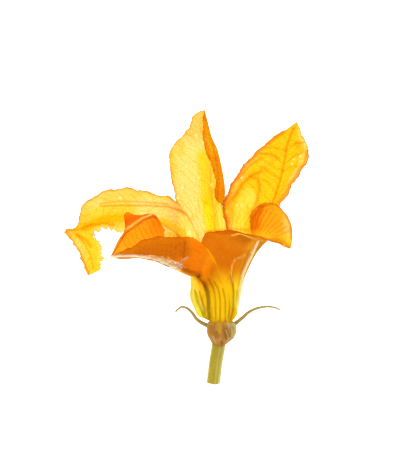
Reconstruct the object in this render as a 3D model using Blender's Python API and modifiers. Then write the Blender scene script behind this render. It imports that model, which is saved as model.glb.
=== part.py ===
"""A zucchini flower: a male squash blossom, picked with a short stem, lying on its back.

The flower lies along +Y, from the cut stem to the tips of the petals, and opens upwards. Lengths are in
millimetres from the foot of the flower, and become metres where the vertices are made. The table is at z = 0.
Directions round the tube are in degrees: 0 points right (+X), 90 points up (+Z) and 180 points left.
"""
import math

import bmesh
import bpy
from mathutils import Vector

MM = 0.001
# The foot of the flower, seen from the origin under the middle of the whole flower
FOOT = Vector((18.1, -39.3, 0.0))
GAP = 0.35
WELD = 0.01

PETAL_THICKNESS = 0.8
HALF_PETAL = PETAL_THICKNESS / 2
COLUMNS = 10
ROW_STEP = 2.8

MIDRIB_HEIGHT = 1.0
SIDE_RIB_HEIGHT = 0.6
RIB_REACH = 0.2
SIDE_RIBS = (-0.8, -0.4, 0.4, 0.8)
# The ribs rise out of the foot of the petals, and the side ribs fade out round the mouth
RIBS_START = 0.5
RIBS_RISE = 4.0
SIDE_RIBS_FADE = 15.0
# The ruffles grow from the mouth on, and from this share of the way out to the margins
RUFFLE_HEIGHT = 0.5
RUFFLE_LENGTH = 10.5
RUFFLE_RISE = 12.0
RUFFLE_START = 0.45

# The levels of the tube: along the flower, middle across, middle above the table, radius across, radius up
TUBE = (
    (-1.15, 0.3, 10.4, 5.6, 5.6),
    (0.5, 0.3, 10.5, 5.9, 5.9),
    (2.6, -1.3, 11.4, 8.8, 8.0),
    (7.0, -2.1, 13.4, 10.9, 10.3),
    (12.0, -2.8, 15.2, 12.3, 12.3),
    (20.0, -2.2, 16.2, 13.0, 13.2),
    (28.0, -1.2, 18.0, 14.8, 15.0),
    (35.5, -0.2, 20.5, 17.6, 17.4),
)
TUBE_ROWS = (1, 1, 2, 2, 3, 3, 3, 4)
MOUTH = 45.0

# Each seam between two petals: its direction at each level of the tube, and the notch where it ends
SEAMS = {
    "top_right": ((-80, -80, -80, -80, -80, -79, -78, -77), (4, 46, 3)),
    "right_front": ((-8, -8, -8, -8, -9, -11, -14, -18), (17, 45, 15)),
    "front": ((57, 57, 57, 56, 56, 67, 90, 103), (-10.5, 42, 43)),
    "front_left": ((172, 171, 168, 160, 155, 158, 165, 170), (-22, 43.5, 23)),
    "left_top": ((211, 211, 211, 211, 212, 216, 223, 230), (-11.5, 43.5, 5.5)),
}

# Each petal: the seams on its two sides, the direction of its midrib at each level of the tube, how far up
# the tube the midrib has come by the last level, the three inner points at the mouth, and the rows of the
# free lobe, each with five points from one margin over the midrib to the other
PETALS = {
    "top": {
        "seams": ("left_top", "top_right"),
        "midrib": (-116, -116, -116, -116, -115, -111, -106, -102),
        "midrib_share": 1.0,
        "mouth": ((-8, 43.5, 3), (-4, 44.5, 2.5), (0, 45.5, 2.5)),
        "lobe": (
            ((-18.5, 54.5, 3.5), (-11.5, 53, 2.5), (-4, 52.5, 2), (0, 53, 2.5), (2.5, 54.5, 4)),
            ((-23.5, 61, 3.5), (-14, 60.5, 2.5), (-4.5, 60.5, 2), (0, 61, 3.5), (0.8, 61.5, 7)),
            ((-24.5, 67.5, 5), (-15, 67, 3), (-5, 66.5, 2.5), (2, 66.5, 5.5), (-2.8, 65.2, 9.5)),
            ((-26.4, 75.5, 6.5), (-15.5, 75.5, 3.5), (-5.5, 75.5, 3), (1.6, 75, 6), (-3, 76.5, 10)),
            ((-27.5, 84.5, 7.5), (-16.5, 84.5, 4.5), (-5.5, 84, 4), (0, 84, 7), (-5.5, 84.5, 10.5)),
            ((-26.3, 92.8, 8.5), (-16.5, 92.5, 6), (-6.5, 91.5, 5.5), (-2.2, 92.5, 8), (-8.5, 92, 11.5)),
            ((-20.3, 99.5, 9), (-13.5, 98.5, 7.5), (-7.5, 98.5, 7), (-5, 98.5, 9), (-9.5, 99, 12)),
            ((-16, 105.8, 10), (-12, 105.5, 9), (-8.5, 105, 9), (-7, 105.5, 10.2), (-9.5, 105.5, 12.3)),
            ((-14.2, 110.3, 11), (-11.9, 111, 10.5), (-9.3, 109.8, 10.5), (-8, 109.8, 11.3), (-9.3, 109.5, 12.5)),
        ),
        "tip": (-8.6, 112.6, 12),
        "ruffle": (0.0, 2.0),
        "calm_end": 8,
    },
    "right": {
        "seams": ("top_right", "right_front"),
        "midrib": (-44, -44, -44, -44, -44, -44, -43, -42),
        "midrib_share": 1.0,
        "mouth": ((9.5, 45.5, 4), (13.5, 45.5, 8), (16, 45, 11.5)),
        "lobe": (
            ((1.8, 54.5, 8), (10, 54.5, 4.5), (18, 53, 6), (20.5, 52, 9.5), (22.5, 51, 13)),
            ((1, 61.5, 7.5), (12, 61.5, 3.5), (25, 60, 3.5), (27.8, 60, 7), (30.2, 60, 11)),
            ((3.9, 69.5, 7.5), (16, 69.5, 2.5), (30, 69, 0.5), (33, 68.8, 4.5), (35.7, 68.7, 9.5)),
            ((8, 77, 7), (19, 76.5, 2), (32, 76.5, -0.6), (36.3, 76, 2.5), (39.6, 76, 8)),
            ((13.6, 85.1, 6.5), (24, 84.5, 1.5), (34, 84.5, -0.6), (40.3, 84, 2), (45, 83.6, 6.5)),
            ((19.8, 91.2, 6), (27.5, 91, 3), (35, 91, 1.2), (41.3, 91, 3), (46.9, 91.3, 6)),
            ((25.6, 96.5, 6.5), (31, 96.5, 4.5), (36, 97, 3.5), (40.5, 97, 4.5), (44.6, 97, 6.5)),
            ((33.3, 101.4, 7.5), (35.6, 102, 6.5), (38.1, 102.1, 6), (40.6, 101.8, 6.5), (42.8, 101.4, 7.5)),
        ),
        "tip": (40.6, 106.4, 8),
        "ruffle": (1.0, 4.0),
        "calm_end": 8,
    },
    "front_right": {
        "seams": ("right_front", "front"),
        "midrib": (20, 20, 19, 18, 16, 12, 12, 12),
        "midrib_share": 0.85,
        "mouth": ((19.6, 41.3, 20), (17.8, 37.2, 27), (6, 39, 38.5)),
        "lobe": (
            ((15.5, 52.5, 20), (22, 47.5, 25), (22, 42, 33), (9, 43.5, 45), (-7, 47.5, 48.5)),
            ((17.5, 59.5, 23), (24, 53.5, 28.5), (25.5, 44.5, 37), (17, 44.5, 48), (3.5, 48.5, 53)),
            ((22, 63, 27.5), (27, 55.5, 32), (28, 45, 40.5), (22.5, 44.3, 49.5), (12.7, 47.2, 55.5)),
            ((28.5, 62.5, 32), (31.3, 55, 36), (30.7, 44.5, 43.5), (27, 43.7, 49.5), (21.7, 44.1, 55)),
            ((33.4, 58.3, 37), (34.5, 52.2, 40), (33.1, 43.7, 46), (31, 41.6, 50), (28.6, 42.7, 53.5)),
            ((36.9, 51, 42.5), (36.4, 47.5, 44.3), (34.6, 42.3, 47), (33, 40.3, 49.8), (31.6, 40.8, 52.2)),
            ((37.3, 44.5, 46.3), (36.8, 42.4, 47.2), (35.6, 40.3, 48.6), (34.4, 39.7, 50.1), (33.4, 40, 51.6)),
        ),
        "tip": (36.3, 38.9, 50),
        "ruffle": (3.0, 0.5),
        "calm_end": 12,
    },
    "front_left": {
        "seams": ("front", "front_left"),
        "midrib": (150, 146, 138, 124, 112, 107, 117, 128),
        "midrib_share": 0.7,
        "mouth": ((-12.5, 34.5, 41), (-17.1, 25.7, 34), (-20.5, 34.5, 27)),
        "lobe": (
            ((-16, 44.8, 49.5), (-18.5, 36, 46), (-23.8, 28.7, 39.5), (-25.5, 36, 32), (-26.5, 42, 26.5)),
            ((-25.5, 45, 55), (-26.2, 38, 51), (-30.7, 31.6, 44), (-31, 39.8, 35.5), (-30, 46, 29.5)),
            ((-33.4, 45.2, 58), (-34, 38.7, 54), (-38, 34.1, 47.5), (-35, 55, 38), (-32.3, 52, 32)),
            ((-40.3, 43.6, 59), (-40.5, 38.4, 55.5), (-44, 35, 50.5), (-41.1, 54.4, 41), (-42, 55.6, 35)),
            ((-46.1, 40.3, 58.5), (-46.6, 37.1, 56), (-49.3, 34.5, 52.5), (-46.6, 50.9, 45), (-50.4, 57.5, 39)),
            ((-50, 38.5, 58.5), (-51.4, 36, 56.5), (-53.3, 34.2, 54), (-51.7, 45.6, 49.5), (-51, 48.5, 46)),
            ((-53.8, 37, 57.6), (-54.8, 35.6, 56.3), (-56, 34.1, 54.8), (-55.6, 38.5, 52.8), (-55, 41, 50.5)),
        ),
        "tip": (-58.2, 34.3, 55),
        "ruffle": (2.0, 5.0),
        "calm_end": 14,
    },
    "left": {
        "seams": ("front_left", "left_top"),
        "midrib": (192, 191, 190, 186, 184, 188, 194, 200),
        "midrib_share": 1.0,
        "mouth": ((-20.5, 45.5, 18), (-17.5, 46.5, 13.5), (-14.5, 46, 9)),
        "lobe": (
            ((-25.5, 43.5, 20), (-22.5, 50, 17), (-19.5, 56, 13.5), (-17.9, 57, 10.3), (-17.7, 56.7, 7)),
            ((-32, 44, 16), (-29, 52.5, 12), (-26, 60, 10.5), (-25, 62.7, 8), (-25.3, 65.1, 8.2)),
            ((-40.5, 45.5, 11.5), (-38.5, 54, 7.5), (-37, 61.5, 6), (-36.3, 65, 5.3), (-35.5, 68, 7.5)),
            ((-51, 46.9, 8), (-50.5, 55, 3.5), (-50, 62, 1), (-49.5, 67.2, 3), (-49, 71, 7.5)),
            ((-60, 49.4, 5.5), (-61, 56, 1), (-62.5, 61.5, -0.8), (-62.8, 66, 1.5), (-62.5, 69.2, 6.5)),
            ((-65.5, 49, 5), (-68, 54, 1.5), (-69.5, 58, -0.2), (-70, 61, 1.8), (-71.4, 64.2, 6)),
            ((-67.8, 45.6, 4.5), (-70.2, 48.8, 2.5), (-72.2, 51.5, 2), (-74.2, 54.5, 3.5), (-75.7, 57.3, 6.5)),
            ((-67.9, 44.6, 4), (-70.7, 46, 3.8), (-73.3, 47.6, 4), (-75.5, 49, 5), (-77.3, 50, 7)),
            ((-64.7, 42.7, 3), (-69.3, 43.2, 3.5), (-74, 45, 4.5), (-79, 47.1, 6), (-83.3, 48.8, 8)),
            ((-63.4, 37.5, 2), (-66.9, 38.4, 2.5), (-71, 39.6, 3.5), (-75, 40.8, 5), (-79, 42.2, 7.5)),
            ((-64, 33, 2), (-66.5, 33.5, 2.5), (-69.2, 34, 3.5), (-72.3, 34.9, 5), (-75.4, 36, 7)),
            ((-64, 28.1, 2.5), (-65.6, 26.8, 3), (-67.2, 26, 4), (-69, 25.2, 5), (-70.8, 24.6, 6.5)),
        ),
        "tip": None,
        "ruffle": (2.5, 1.0),
        "calm_end": 36,
    },
}

# The middle of the stem and the calyx, from the cut end to the rim of the calyx
AXIS = ((-4.2, -32.9, 2.9), (-2.9, -22.5, 5.5), (-1.3, -12.1, 8.2), (-0.3, -6.0, 9.5), (0.3, 0.0, 10.4))
AXIS_CALYX_BOTTOM = 2.0
AXIS_RIM = 4.0

# The stem has five angles and the calyx has five ridges
ANGLES = 5
STEM_RADIUS = 3.4
STEM_EDGE = 0.09
STEM_SIDES = 30
STEM_RINGS = 9

CALYX_SIDES = 40
CALYX_RINGS = 10
CALYX_RIDGE = 0.06
# The rings of the calyx turn from the stem's direction to the petals' between these shares of the way up
CALYX_TURN = (0.2, 0.9)
# The outside of the calyx: share of the way up from the stem, radius
CALYX_PROFILE = ((0.0, 3.5), (0.1, 4.8), (0.28, 6.5), (0.5, 7.4), (0.72, 7.7), (0.92, 7.4), (1.0, 7.05))
CALYX_RIM_INSIDE = 6.6
RECESS_RADIUS = 6.4
RECESS_DEPTH = 1.5

SEPAL_SIDES = 8
SEPAL_RINGS = 16
# Each sepal: its radius at the root, and its middle from inside the calyx to the tip
SEPALS = (
    (1.2, ((-5.2, -3.8, 9.4), (-7.9, -2, 9.2), (-11.1, -0.3, 9.4), (-13.6, 2, 10.6), (-15.3, 4.6, 12.0),
            (-17.8, 6.9, 12.8), (-20.4, 7.8, 13.2), (-22.4, 7, 13.3), (-24.2, 5.1, 13))),
    (1.2, ((4.4, -3.8, 9), (6.6, -2, 8.1), (9.4, 0.3, 7.9), (12.2, 2.7, 9.3), (14.6, 4.9, 11.2),
            (18, 6.7, 12), (21.6, 7.7, 12.5), (25.2, 8, 12.6), (28.7, 7.5, 12.4), (31.5, 6.1, 12))),
    (1.0, ((3.2, -4.2, 13.2), (5, -1.9, 15.4), (6.9, -1.7, 15.8), (7.8, -4, 15), (7.4, -6.8, 13.8),
            (6, -9.4, 12.4))),
    (0.85, ((-2.5, -5, 5), (-4.3, -1.6, 2.2), (-6.2, 3.5, 1), (-7.8, 9, 0.9), (-9, 14.5, 0.8))),
    (0.85, ((3, -5, 5), (4.7, -1.6, 2.2), (5.4, 3.5, 1), (4.6, 9, 0.9), (3, 14, 0.8))),
)
SEPAL_TIP_RADIUS = 0.4

STAMEN_SIDES = 24
STAMEN_RINGS = 30
STAMEN_AXIS = ((0.3, -1.15, 10.4), (-0.8, 5.0, 12.3), (-1.9, 13.0, 14.8), (-2.2, 24.0, 16.8))
# The column of stamens: share of the way up, radius
STAMEN_PROFILE = (
    (0.0, 3.9), (0.12, 3.0), (0.3, 1.8), (0.38, 2.0), (0.45, 2.9), (0.7, 3.1), (0.88, 2.7), (1.0, 1.0),
)
# The column stands square on its flat foot, and has turned along its line by this share of the way up
STAMEN_TURN = 0.15
ANTHER_START = (0.37, 0.47)
ANTHER_RIDGES = 3
ANTHER_RIDGE = 0.35
ANTHER_TURNS = 0.8

COLUMN_PLACES = (-1.0, -0.5, 0.0, 0.5, 1.0)
# How far to both sides of a place a direction is measured: across and along a petal, and along other lines
REACH_ACROSS = 0.05
REACH_ALONG = 0.4
REACH = 0.02


def to_world(point):
    """A point of the flower, in millimetres from its foot, as metres in the world."""
    return (Vector(point) + FOOT) * MM


def slope(points, knots, index):
    """How fast the curve moves at one of its points, from the points on both sides."""
    last = len(points) - 1
    if last == 1:
        return (points[1] - points[0]) / (knots[1] - knots[0])
    if index == 0:
        first = (points[1] - points[0]) / (knots[1] - knots[0])
        return first * 1.5 - slope(points, knots, 1) * 0.5
    if index == last:
        final = (points[last] - points[last - 1]) / (knots[last] - knots[last - 1])
        return final * 1.5 - slope(points, knots, last - 1) * 0.5
    before = knots[index] - knots[index - 1]
    after = knots[index + 1] - knots[index]
    rise_before = (points[index] - points[index - 1]) / before
    rise_after = (points[index + 1] - points[index]) / after
    return (rise_before * after + rise_after * before) / (before + after)


def curve(points, knots, place):
    """The smooth curve through all the points, at one place along the knots."""
    index = 0
    while index < len(points) - 2 and place > knots[index + 1]:
        index += 1
    span = knots[index + 1] - knots[index]
    s = (place - knots[index]) / span
    start = slope(points, knots, index) * span
    end = slope(points, knots, index + 1) * span
    return (
        points[index] * (2 * s**3 - 3 * s**2 + 1)
        + start * (s**3 - 2 * s**2 + s)
        + points[index + 1] * (3 * s**2 - 2 * s**3)
        + end * (s**3 - s**2)
    )


def tube_point(level, direction):
    """A point on the wall of the tube, at a level along the flower and a direction round it."""
    levels = [row[0] for row in TUBE]
    values = [Vector(row[1:]) for row in TUBE]
    middle_x, middle_z, radius_x, radius_z = curve(values, levels, level)
    angle = math.radians(direction)
    return Vector((middle_x + radius_x * math.cos(angle), level, middle_z + radius_z * math.sin(angle)))


def smooth_step(low, high, value):
    """0 up to the low value, 1 from the high one, and a smooth rise between them."""
    s = min(max((value - low) / (high - low), 0.0), 1.0)
    return s * s * (3 - 2 * s)


def petal_net(petal):
    """The rows of five points that a petal's surface runs through, and each row's place along it."""
    before, after = (SEAMS[name] for name in petal["seams"])
    base = TUBE[0][0]
    rows = []
    for index, level_row in enumerate(TUBE):
        level = level_row[0]
        start = before[0][index]
        end = after[0][index]
        if start > end:
            start -= 360
        middle = petal["midrib"][index]
        rib_level = base + (level - base) * petal["midrib_share"]
        side_level = (level + rib_level) / 2
        rows.append([
            tube_point(level, start),
            tube_point(side_level, (start + middle) / 2),
            tube_point(rib_level, middle),
            tube_point(side_level, (middle + end) / 2),
            tube_point(level, end),
        ])
    mouth = (before[1],) + petal["mouth"] + (after[1],)
    for row in (mouth,) + petal["lobe"]:
        rows.append([Vector(point) for point in row])
    if petal["tip"]:
        rows.append([Vector(petal["tip"])] * len(COLUMN_PLACES))
    knots = [row[0] for row in TUBE] + [MOUTH]
    for previous, row in zip(rows[len(TUBE):], rows[len(TUBE) + 1:]):
        steps = [(point - old).length for old, point in zip(previous, row)]
        knots.append(knots[-1] + sum(steps) / len(steps))
    return rows, knots


def column_point(column, knots, place, is_margin):
    """A point of one long line of the net. A margin has a corner at the notch, where it leaves the seam."""
    mouth = len(TUBE)
    if not is_margin:
        return curve(column, knots, place)
    if place <= MOUTH:
        return curve(column[:mouth + 1], knots[:mouth + 1], place)
    return curve(column[mouth:], knots[mouth:], place)


def bare_point(net, across, along):
    """A point of the petal before ribs and ruffles: across is -1 to 1, along is a place on the knots."""
    rows, knots = net
    places = []
    for number in range(len(COLUMN_PLACES)):
        column = [row[number] for row in rows]
        is_margin = number in (0, len(COLUMN_PLACES) - 1)
        places.append(column_point(column, knots, along, is_margin))
    return curve(places, COLUMN_PLACES, across)


def outward(net, across, along):
    """The direction away from the inside of the flower, square to the petal."""
    end = net[1][-1]
    left = bare_point(net, max(across - REACH_ACROSS, -1), along)
    right = bare_point(net, min(across + REACH_ACROSS, 1), along)
    ahead = bare_point(net, across, min(along + REACH_ALONG, end))
    behind = bare_point(net, across, along - REACH_ALONG)
    return (ahead - behind).cross(right - left).normalized()


def rib_height(across, along, end):
    """How far the veins stand out from the outside of the petal."""
    fade = 1 - smooth_step(MOUTH, end, along)
    side_fade = 1 - smooth_step(MOUTH - SIDE_RIBS_FADE, MOUTH + SIDE_RIBS_FADE, along)
    foot_fade = smooth_step(RIBS_START, RIBS_START + RIBS_RISE, along)
    height = MIDRIB_HEIGHT * fade * max(0, 1 - abs(across) / RIB_REACH)
    for place in SIDE_RIBS:
        height += SIDE_RIB_HEIGHT * side_fade * max(0, 1 - abs(across - place) / RIB_REACH)
    return height * foot_fade


def ruffle_height(petal, across, along, end):
    """The wave of the petal's free margins."""
    phase = petal["ruffle"][0 if across < 0 else 1]
    edge = smooth_step(RUFFLE_START, 1.0, abs(across))
    calm = smooth_step(end - petal["calm_end"], end, along)
    reach = smooth_step(MOUTH, MOUTH + RUFFLE_RISE, along) * (1 - calm)
    return RUFFLE_HEIGHT * edge * reach * math.sin((along - MOUTH) * 2 * math.pi / RUFFLE_LENGTH + phase)


def petal_point(petal, net, across, along):
    """A point in the middle of the petal's thickness. A petal lies flat where it would sink into the table."""
    end = net[1][-1]
    point = bare_point(net, across, along)
    lift = rib_height(across, along, end) + ruffle_height(petal, across, along, end)
    if lift:
        point = point + outward(net, across, along) * lift
    point.z = max(point.z, HALF_PETAL)
    return point


def petal_rows(knots):
    """The places of the mesh's rows: the same for all petals up to the mouth, then about a row step apart."""
    places = [knots[0]]
    for index in range(len(knots) - 1):
        span = knots[index + 1] - knots[index]
        count = TUBE_ROWS[index] if index < len(TUBE_ROWS) else max(1, round(span / ROW_STEP))
        for step in range(count):
            places.append(knots[index] + span * (step + 1) / count)
    return places


def add_petal(mesh, petal):
    """One petal as a flat grid, with every vertex moved to its place on the petal."""
    net = petal_net(petal)
    places = petal_rows(net[1])
    count = len(places) - 1
    grid = bmesh.ops.create_grid(mesh, x_segments=COLUMNS, y_segments=count, size=1)
    for vertex in grid["verts"]:
        across = round(vertex.co.x, 6)
        row = round((vertex.co.y + 1) / 2 * count)
        vertex.co = to_world(petal_point(petal, net, across, places[row]))


def new_object(name, mesh_data, colour, roughness):
    """An object in the flower's collection, with its own material."""
    material = bpy.data.materials.new(name)
    material.use_nodes = True
    shader = material.node_tree.nodes["Principled BSDF"]
    shader.inputs["Base Color"].default_value = colour
    shader.inputs["Roughness"].default_value = roughness
    mesh_data.materials.clear()
    mesh_data.materials.append(material)
    made = bpy.data.objects.new(name, mesh_data)
    bpy.data.collections["zucchini_flower"].objects.link(made)
    return made


def make_corolla():
    """The five petals, grown together up to their notches, as one thin shell."""
    mesh = bmesh.new()
    for petal in PETALS.values():
        add_petal(mesh, petal)
    bmesh.ops.remove_doubles(mesh, verts=mesh.verts, dist=WELD * MM)
    bmesh.ops.triangulate(mesh, faces=mesh.faces, quad_method="SHORT_EDGE")
    data = bpy.data.meshes.new("corolla")
    mesh.to_mesh(data)
    mesh.free()
    data.shade_smooth()
    corolla = new_object("corolla", data, (0.95, 0.55, 0.05, 1), 0.5)
    shell = corolla.modifiers.new("thickness", "SOLIDIFY")
    shell.thickness = PETAL_THICKNESS * MM
    shell.offset = 0


def ring(middle, ahead, sides, radius_at):
    """A closed ring of points round a middle, square to the direction ahead."""
    ahead = Vector(ahead).normalized()
    side = ahead.cross(Vector((0, 0, 1))).normalized()
    up = side.cross(ahead)
    points = []
    for number in range(sides):
        angle = 2 * math.pi * number / sides
        points.append(middle + (side * math.cos(angle) + up * math.sin(angle)) * radius_at(angle))
    return points


def add_loft(mesh, rings):
    """A closed solid through rings of like counts, with flat ends."""
    layers = [[mesh.verts.new(to_world(point)) for point in points] for points in rings]
    sides = len(layers[0])
    for below, above in zip(layers, layers[1:]):
        for number in range(sides):
            after = (number + 1) % sides
            mesh.faces.new((below[number], below[after], above[after], above[number]))
    mesh.faces.new(list(reversed(layers[0])))
    mesh.faces.new(layers[-1])


def finished_mesh(name, mesh):
    """The mesh with its faces pointing out, as mesh data that is shaded smooth."""
    bmesh.ops.recalc_face_normals(mesh, faces=mesh.faces)
    bmesh.ops.triangulate(mesh, faces=mesh.faces)
    data = bpy.data.meshes.new(name)
    mesh.to_mesh(data)
    mesh.free()
    data.shade_smooth()
    data.set_sharp_from_angle(angle=math.radians(40))
    return data


def axis_point(place):
    """A point of the stem's and the calyx's middle line, and the direction there."""
    points = [Vector(point) for point in AXIS]
    knots = range(len(points))
    ahead = curve(points, knots, place + REACH) - curve(points, knots, place - REACH)
    return curve(points, knots, place), ahead.normalized()


def stem_radius(angle):
    """How far the five-angled skin of the stem is from its middle, in a direction round it."""
    return STEM_RADIUS * (1 + STEM_EDGE * math.cos(ANGLES * angle))


def make_stem():
    """The five-angled stem. Its cut end rests on the table on a flat spot."""
    mesh = bmesh.new()
    top, top_ahead = axis_point(AXIS_CALYX_BOTTOM)
    rings = []
    for number in range(STEM_RINGS + 1):
        middle, ahead = axis_point(AXIS_CALYX_BOTTOM * number / STEM_RINGS)
        if number == STEM_RINGS:
            middle = top - top_ahead * GAP
        points = ring(middle, ahead, STEM_SIDES, stem_radius)
        for point in points:
            point.z = max(point.z, 0.0)
        rings.append(points)
    add_loft(mesh, rings)
    new_object("stem", finished_mesh("stem", mesh), (0.45, 0.42, 0.08, 1), 0.6)


def calyx_rings():
    """The outside of the calyx up to its rim, then the shallow recess that the petals stand in."""
    shares = [row[0] for row in CALYX_PROFILE]
    radii = [row[1] for row in CALYX_PROFILE]
    rim = Vector(AXIS[-1])
    rings = []
    for number in range(CALYX_RINGS + 1):
        share = number / CALYX_RINGS
        middle, ahead = axis_point(AXIS_CALYX_BOTTOM + (AXIS_RIM - AXIS_CALYX_BOTTOM) * share)
        facing = ahead.lerp(Vector((0, 1, 0)), smooth_step(*CALYX_TURN, share))
        radius = curve(radii, shares, share)
        ridge = CALYX_RIDGE * math.sin(math.pi * share)
        rings.append(ring(
            middle, facing, CALYX_SIDES,
            lambda angle: radius * (1 + ridge * math.cos(ANGLES * angle)),
        ))
    floor = rim - Vector((0, RECESS_DEPTH, 0))
    rings.append(ring(rim, (0, 1, 0), CALYX_SIDES, lambda angle: CALYX_RIM_INSIDE))
    rings.append(ring(floor, (0, 1, 0), CALYX_SIDES, lambda angle: RECESS_RADIUS))
    return rings


def add_sepal(mesh, root_radius, points):
    """A narrow sepal: a round spike along a smooth line, thinning to its tip."""
    line = [Vector(point) for point in points]
    knots = list(range(len(line)))
    rings = []
    for number in range(SEPAL_RINGS + 1):
        share = number / SEPAL_RINGS
        place = share * knots[-1]
        ahead = curve(line, knots, place + REACH) - curve(line, knots, place - REACH)
        radius = root_radius + (SEPAL_TIP_RADIUS - root_radius) * share
        rings.append(ring(curve(line, knots, place), ahead, SEPAL_SIDES, lambda angle: radius))
    add_loft(mesh, rings)


def make_calyx():
    """The cup under the petals, joined with its five sepals."""
    mesh = bmesh.new()
    add_loft(mesh, calyx_rings())
    calyx = new_object("calyx", finished_mesh("calyx", mesh), (0.45, 0.30, 0.12, 1), 0.6)
    sepals = bpy.data.collections.new("sepals")
    bpy.context.scene.collection.children.link(sepals)
    for number, (root_radius, points) in enumerate(SEPALS):
        mesh = bmesh.new()
        add_sepal(mesh, root_radius, points)
        name = "sepal_" + str(number)
        sepals.objects.link(bpy.data.objects.new(name, finished_mesh(name, mesh)))
    join = calyx.modifiers.new("join", "BOOLEAN")
    join.operation = "UNION"
    join.operand_type = "COLLECTION"
    join.collection = sepals
    join.solver = "EXACT"
    bpy.context.view_layer.update()
    joined = bpy.data.meshes.new_from_object(calyx.evaluated_get(bpy.context.evaluated_depsgraph_get()))
    calyx.modifiers.clear()
    calyx.data = joined
    for sepal in list(sepals.objects):
        bpy.data.objects.remove(sepal)
    bpy.data.collections.remove(sepals)


def make_stamens():
    """The column inside the tube: filaments grown together below, the twisted anther above."""
    mesh = bmesh.new()
    line = [Vector(point) for point in STAMEN_AXIS]
    knots = list(range(len(line)))
    shares = [row[0] for row in STAMEN_PROFILE]
    radii = [row[1] for row in STAMEN_PROFILE]
    rings = []
    for number in range(STAMEN_RINGS + 1):
        share = number / STAMEN_RINGS
        place = share * knots[-1]
        ahead = curve(line, knots, place + REACH) - curve(line, knots, place - REACH)
        facing = Vector((0, 1, 0)).lerp(ahead.normalized(), smooth_step(0.0, STAMEN_TURN, share))
        radius = curve(radii, shares, share)
        ridge = ANTHER_RIDGE * smooth_step(*ANTHER_START, share)
        turn = 2 * math.pi * ANTHER_TURNS * share
        rings.append(ring(
            curve(line, knots, place), facing, STAMEN_SIDES,
            lambda angle: radius + ridge * math.cos(ANTHER_RIDGES * (angle - turn)),
        ))
    add_loft(mesh, rings)
    new_object("stamens", finished_mesh("stamens", mesh), (0.80, 0.55, 0.12, 1), 0.7)


def main():
    for old in list(bpy.data.objects):
        bpy.data.objects.remove(old)
    flower = bpy.data.collections.new("zucchini_flower")
    bpy.context.scene.collection.children.link(flower)
    make_stem()
    make_calyx()
    make_corolla()
    make_stamens()


main()
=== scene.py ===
"""The looks of a zucchini flower that lies on a light table, seen from straight above.

Lengths are in millimetres from the foot of the flower, as in the part's own source, and become metres where
the vertices are made. +Y runs from the cut stem to the tips of the petals, and +Z points up to the camera.
Directions round the tube are in degrees: 0 points right (+X), 90 points up (+Z) and 180 points left.
A petal's own places are "across", from -1 at one margin over the midrib at 0 to 1 at the other margin, and
"along", from its foot.
"""
import math
import random

import bmesh
import bpy
import numpy as np
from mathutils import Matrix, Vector, noise


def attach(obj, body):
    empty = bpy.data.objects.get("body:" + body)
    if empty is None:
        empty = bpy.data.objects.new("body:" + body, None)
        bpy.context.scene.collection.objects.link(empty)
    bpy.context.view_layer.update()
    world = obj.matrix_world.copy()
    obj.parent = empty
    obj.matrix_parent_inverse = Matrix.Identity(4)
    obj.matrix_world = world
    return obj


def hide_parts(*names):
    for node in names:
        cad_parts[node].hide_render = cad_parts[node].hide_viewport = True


MM = 0.001
# The foot of the flower, seen from the origin under the middle of the whole flower
FOOT = np.array((18.1, -39.3, 0))

# The petals' shape, as in the part's source
GAP = 0.35
MIDRIB_HEIGHT = 1.0
SIDE_RIB_HEIGHT = 0.6
RIB_REACH = 0.2
SIDE_RIBS = (-0.8, -0.4, 0.4, 0.8)
RIBS_START = 0.5
RIBS_RISE = 4.0
SIDE_RIBS_FADE = 15.0
RUFFLE_RISE = 12.0
FREE_RISE = 4.0
COLUMN_PLACES = np.array((-1, -0.5, 0, 0.5, 1))

# The levels of the tube: along the flower, middle across, middle above the table, radius across and
# radius upwards
TUBE = np.array((
    (-1.15, 0.3, 10.4, 5.6, 5.6),
    (0.5, 0.3, 10.5, 5.9, 5.9),
    (2.6, -1.3, 11.4, 8.8, 8),
    (7, -2.1, 13.4, 10.9, 10.3),
    (12, -2.8, 15.2, 12.3, 12.3),
    (20, -2.2, 16.2, 13, 13.2),
    (28, -1.2, 18, 14.8, 15),
    (35.5, -0.2, 20.5, 17.6, 17.4),
))
MOUTH = 45.0

# Each seam between two petals: its direction at each level of the tube, and the notch where it ends
SEAMS = {
    "top_right": ((-80, -80, -80, -80, -80, -79, -78, -77), (4, 46, 3)),
    "right_front": ((-8, -8, -8, -8, -9, -11, -14, -18), (17, 45, 15)),
    "front": ((57, 57, 57, 56, 56, 67, 90, 103), (-10.5, 42, 43)),
    "front_left": ((172, 171, 168, 160, 155, 158, 165, 170), (-22, 43.5, 23)),
    "left_top": ((211, 211, 211, 211, 212, 216, 223, 230), (-11.5, 43.5, 5.5)),
}

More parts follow.
